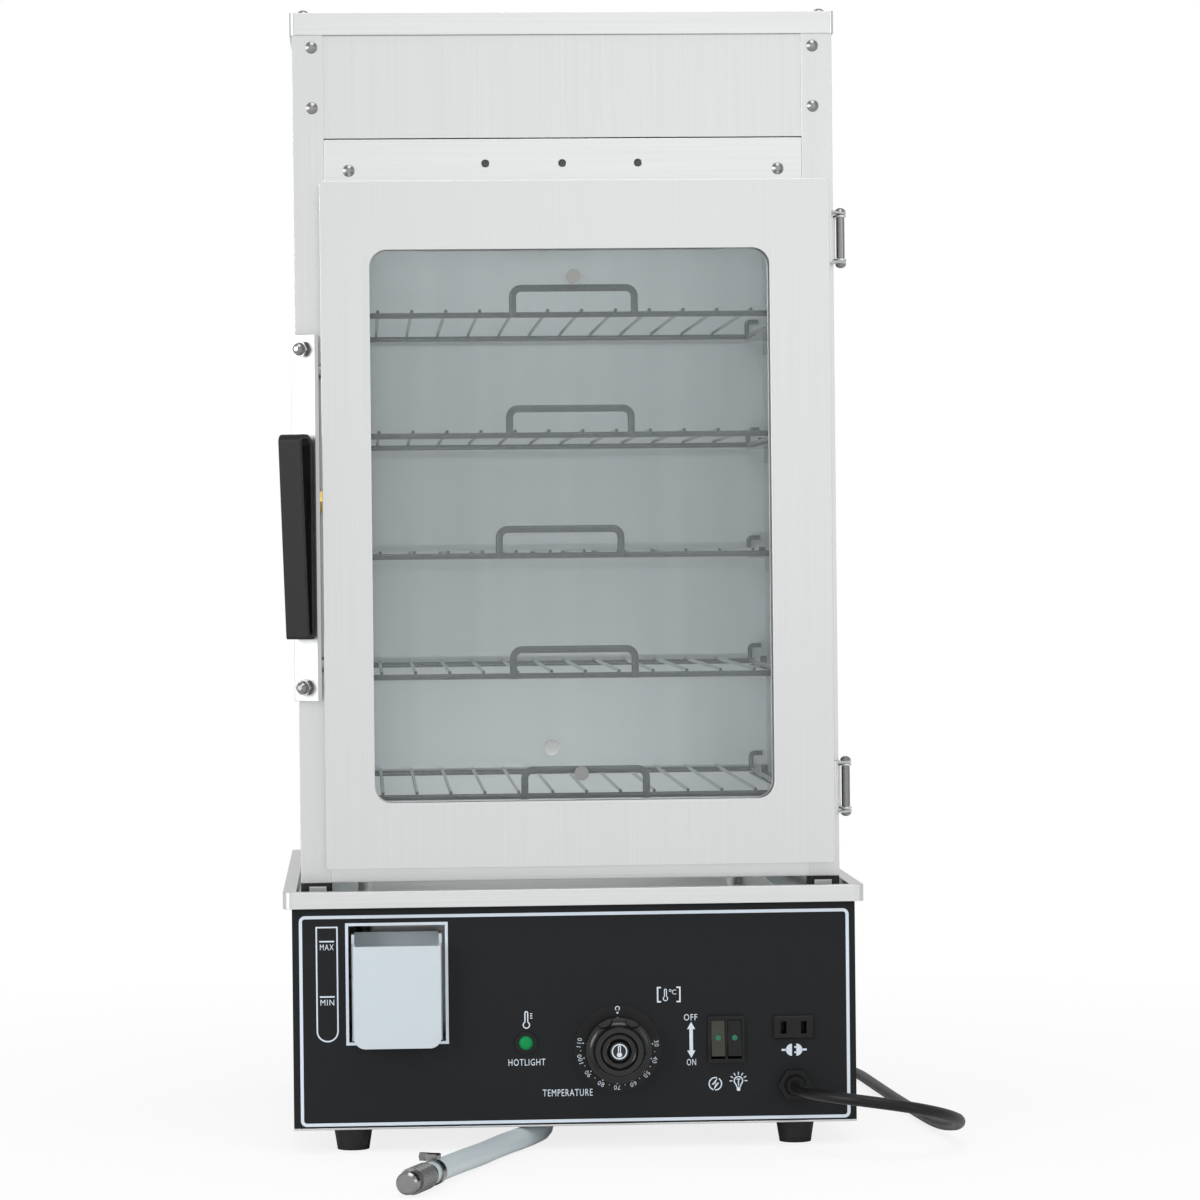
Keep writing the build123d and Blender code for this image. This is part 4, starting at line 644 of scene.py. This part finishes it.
class STEAMER_OT_plug_thread(bpy.types.Operator):
    """Winds the crests of a thread round the plug in the hose's end"""

    bl_idname = "steamer.plug_thread"
    bl_label = "Plug thread"

    def execute(self, context):
        tail, way = Vector(HOSE_END) * MM, Vector(PLUG_WAY).normalized()
        first, last, crest, crest_count, thread_radius = 5.5 * MM, 30.5 * MM, 0.4 * MM, 14, 8.4 * MM
        line = [tuple(tail + way * reach) for reach in (first, last)]
        tree = repeat_tree("thread_crests", ring_radius=thread_radius)
        along_curve("plug_thread", line, tree, crest_count, crest, "plated_steel", "base")
        return {"FINISHED"}


def in_metres(points):
    """Control points given in millimetres, as plain tuples in metres."""
    return [tuple(v * MM for v in point) for point in points]


def smooth_tube(name, points, radius, material, body):
    """A round tube on a quadratic NURBS line that touches every run of its control points."""
    curve = bpy.data.curves.new(name, "CURVE")
    curve.dimensions = "3D"
    curve.bevel_depth = radius
    curve.bevel_resolution = 5
    curve.use_fill_caps = True
    curve.resolution_u = 6
    spline = curve.splines.new("NURBS")
    spline.points.add(len(points) - 1)
    for control, point in zip(spline.points, points):
        control.co = (*point, 1.0)
    spline.order_u = 3
    spline.use_endpoint_u = True
    return new_object(name, curve, material, body)


def coil_controls(start, turns, marks=8):
    """Control points round the half turns of a coil, each given as its radius and its climb, and
    the place where they end. The points stand outside the arcs, so that the smooth line touches these."""
    controls = []
    here = Vector(start)
    side = 1
    for radius, climb in turns:
        middle = here + Vector((0, radius * side, 0))
        outside = radius / math.cos(math.pi / (2 * marks))
        for i in range(marks):
            share = (i + 0.5) / marks
            turn = math.radians(-90 * side) - math.pi * share
            x = middle.x + outside * math.cos(turn)
            y = middle.y + outside * math.sin(turn)
            controls.append((x, y, here.z + climb * share))
        here = here + Vector((0, 2 * radius * side, climb))
        side = -side
    return controls, here


class STEAMER_OT_cords(bpy.types.Operator):
    """Lays the mains cord with its put-away coil, and the drain hose"""

    bl_idname = "steamer.cords"
    bl_label = "Cords"

    def execute(self, context):
        gland_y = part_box("cable_gland")[0][1] / MM
        cord_radius, floor_z = 4.0, 4.1
        exit_point = (151.0, gland_y, 42.2)
        coil_start = (90.0, 274.0, floor_z)
        run = [
            exit_point, (151, -245, 42.0), (166, -271, 41.5), (192, -286, 39.5), (222, -286, 35.0),
            (247, -270, 28.0), (262, -242, 20.0), (264, -202, 11.0), (258, -147, 5.0),
            (253, -72, floor_z), (246, 17, floor_z), (241, 102, floor_z), (236, 180, floor_z),
            (214, 240, floor_z), (156, 274, floor_z),
        ]
        # half turns of the coil: the third climbs onto the first layer
        turns = ((46.0, 0), (41.7, 0), (37.4, 8.6), (41.7, 0), (46.0, 0), (58.0, 0))
        coil, end = coil_controls(coil_start, turns)
        plug_reach = 8.0
        tail = [tuple(end), (end.x - plug_reach, end.y, end.z)]
        points = in_metres(run + coil + tail)
        cord = smooth_tube("mains_cord", points, cord_radius * MM, "cord_sheath", "base")
        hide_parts("power_cord", "cord_coil")
        elbow_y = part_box("drain_elbow")[0][1] / MM
        hose_radius, hose_length, lying_z = 7.5, 0.271, 7.6
        points = in_metres([
            (-20, elbow_y, lying_z), (-20, -152, lying_z), (-32, -189, lying_z), (-52, -233, lying_z),
            (-68, -279, lying_z), (-85, -326, 8.9), HOSE_END,
        ])
        hose = smooth_tube("soft_hose", points, hose_radius * MM, "soft_pvc", "base")
        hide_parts("drain_hose")
        return {"FINISHED"}


def fading_paper():
    """White paper that keeps the shadow near the object and turns to the white background further out."""
    paper = surface("white_paper", "#F2F2F2", 0.0, 0.9, Specular_IOR_Level=0.1)
    tree = paper.node_tree
    shader = next(n for n in tree.nodes if n.type == "BSDF_PRINCIPLED")
    output = next(n for n in tree.nodes if n.type == "OUTPUT_MATERIAL")
    place = add_node(tree, "ShaderNodeTexCoord")
    distance = add_node(
        tree, "ShaderNodeVectorMath", [(place.outputs["Object"], "Vector")], operation="LENGTH"
    )
    fade = add_node(tree, "ShaderNodeMapRange", [(distance.outputs["Value"], "Value")])
    shadow_reach, paper_end, near_white = 0.25, 1.1, 0.82
    for name, value in (("From Min", shadow_reach), ("From Max", paper_end), ("To Min", near_white)):
        fade.inputs[name].default_value = value
    rays = add_node(tree, "ShaderNodeLightPath")
    seen = add_node(
        tree, "ShaderNodeMath", [(rays.outputs["Is Camera Ray"], 0), (fade.outputs["Result"], 1)],
        operation="MULTIPLY",
    )
    glow = add_node(tree, "ShaderNodeEmission", Strength=1.0)
    mix = add_node(tree, "ShaderNodeMixShader", [(seen.outputs[0], "Fac")])
    tree.links.new(shader.outputs[0], mix.inputs[1])
    tree.links.new(glow.outputs[0], mix.inputs[2])
    tree.links.new(mix.outputs[0], output.inputs["Surface"])
    return paper


def lay_floor(scene):
    """The paper under the object, a little below its feet."""
    reach, drop = 12.0, 0.2 * MM
    mesh = bpy.data.meshes.new("studio_floor")
    corners = [(-reach, -reach, 0), (reach, -reach, 0), (reach, reach, 0), (-reach, reach, 0)]
    mesh.from_pydata(corners, [], [(0, 1, 2, 3)])
    mesh.materials.append(fading_paper())
    floor = bpy.data.objects.new("studio_floor", mesh)
    floor.location.z = -drop
    scene.collection.objects.link(floor)


def white_world():
    """White where the camera sees it, also through glass, and a softer light on the object."""
    world = bpy.data.worlds.new("studio")
    world.use_nodes = True
    tree = world.node_tree
    tree.nodes.clear()
    rays = add_node(tree, "ShaderNodeLightPath")
    seen = add_node(
        tree, "ShaderNodeMath",
        [(rays.outputs["Is Camera Ray"], 0), (rays.outputs["Is Transmission Ray"], 1)],
        operation="MAXIMUM",
    )
    mix = add_node(tree, "ShaderNodeMixShader", [(seen.outputs[0], "Fac")])
    for socket, strength in ((1, 0.7), (2, 1.0)):
        light = add_node(tree, "ShaderNodeBackground", Strength=strength)
        light.inputs["Color"].default_value = linear("#FFFFFF")
        tree.links.new(light.outputs[0], mix.inputs[socket])
    add_node(tree, "ShaderNodeOutputWorld", [(mix.outputs[0], "Surface")])
    return world


def area_light(scene, name, place, target, width, height, energy):
    """A rectangular light at a place, turned towards its target."""
    light = bpy.data.lights.new(name, "AREA")
    light.shape = "RECTANGLE"
    light.size, light.size_y, light.energy = width, height, energy
    lamp = bpy.data.objects.new(name, light)
    lamp.location = place
    lamp.rotation_euler = (Vector(target) - Vector(place)).to_track_quat("-Z", "Y").to_euler()
    scene.collection.objects.link(lamp)
    return lamp


class STEAMER_OT_stage(bpy.types.Operator):
    """Sets the floor, the lights and the camera"""

    bl_idname = "steamer.stage"
    bl_label = "Stage"

    def execute(self, context):
        scene = context.scene
        sizes = scene.steamer_sizes
        lay_floor(scene)
        scene.world = white_world()
        # Each studio light with its place, the side of its square and its power in watts
        middle = (0, 0, 0.4)
        for name, place, side, power in (
            ("softbox_left", (-2.6, -2.2, 1.0), 1.5, 34.0),
            ("softbox_right", (2.4, -2.6, 0.9), 1.3, 8.0),
            ("softbox_top", (0.2, -1.2, 3.0), 1.6, 21.0),
            ("softbox_front", (0.5, -4.6, 1.0), 2.2, 8.5),
        ):
            area_light(scene, name, place, middle, side, side, power)
        # Two slim lights behind the door shine on the cabinet's rear wall
        liner_low, liner_high = (Vector(corner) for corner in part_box("cavity_liner"))
        wall_middle = (0, liner_high.y, 0.38)
        slim_width, slim_height, behind_door = 0.28, 0.02, 0.03
        for name, height, power in (
            ("cabinet_lamp", liner_high.z - 0.02, 0.15),
            ("cabinet_fill", liner_low.z + 0.03, 0.25),
        ):
            place = (0.0, liner_low.y + behind_door, height)
            shine = area_light(scene, name, place, wall_middle, slim_width, slim_height, power)
            shine.visible_camera = False
        camera = bpy.data.cameras.new("photo_camera")
        camera.lens, camera.sensor_width, camera.clip_end = sizes.lens, 36.0, 60.0
        eye = Vector((-0.144, PANEL_Y - sizes.eye_distance, 0.412))
        target = Vector((0.020, PANEL_Y, 0.378))
        lean = math.radians(-0.6)
        facing = (target - eye).to_track_quat("-Z", "Y").to_matrix()
        viewer = bpy.data.objects.new("photo_camera", camera)
        viewer.matrix_world = Matrix.Translation(eye) @ (facing @ Matrix.Rotation(lean, 3, "Z")).to_4x4()
        scene.collection.objects.link(viewer)
        scene.camera = viewer
        scene.view_settings.view_transform = "Standard"
        return {"FINISHED"}


OPERATORS = (
    STEAMER_OT_finishes,
    STEAMER_OT_panel_print,
    STEAMER_OT_dial_print,
    STEAMER_OT_small_dots,
    STEAMER_OT_vent_shades,
    STEAMER_OT_plug_thread,
    STEAMER_OT_cords,
    STEAMER_OT_stage,
)


class STEAMER_PT_panel(bpy.types.Panel):
    bl_label = "Bun Steamer"
    bl_space_type = "VIEW_3D"
    bl_region_type = "UI"
    bl_category = "Bun Steamer"

    def draw(self, context):
        for name in ("ink_line", "cord_length", "eye_distance", "lens"):
            self.layout.prop(context.scene.steamer_sizes, name)
        for operator in OPERATORS:
            self.layout.operator(operator.bl_idname)


CLASSES = (SteamerSizes, *OPERATORS, STEAMER_PT_panel)


def register():
    for one in CLASSES:
        bpy.utils.register_class(one)
    bpy.types.Scene.steamer_sizes = bpy.props.PointerProperty(type=SteamerSizes)


def unregister():
    del bpy.types.Scene.steamer_sizes
    for one in reversed(CLASSES):
        bpy.utils.unregister_class(one)


def main():
    register()
    for operator in OPERATORS:
        group, name = operator.bl_idname.split(".")
        getattr(getattr(bpy.ops, group), name)()


if __name__ == "__main__":
    main()
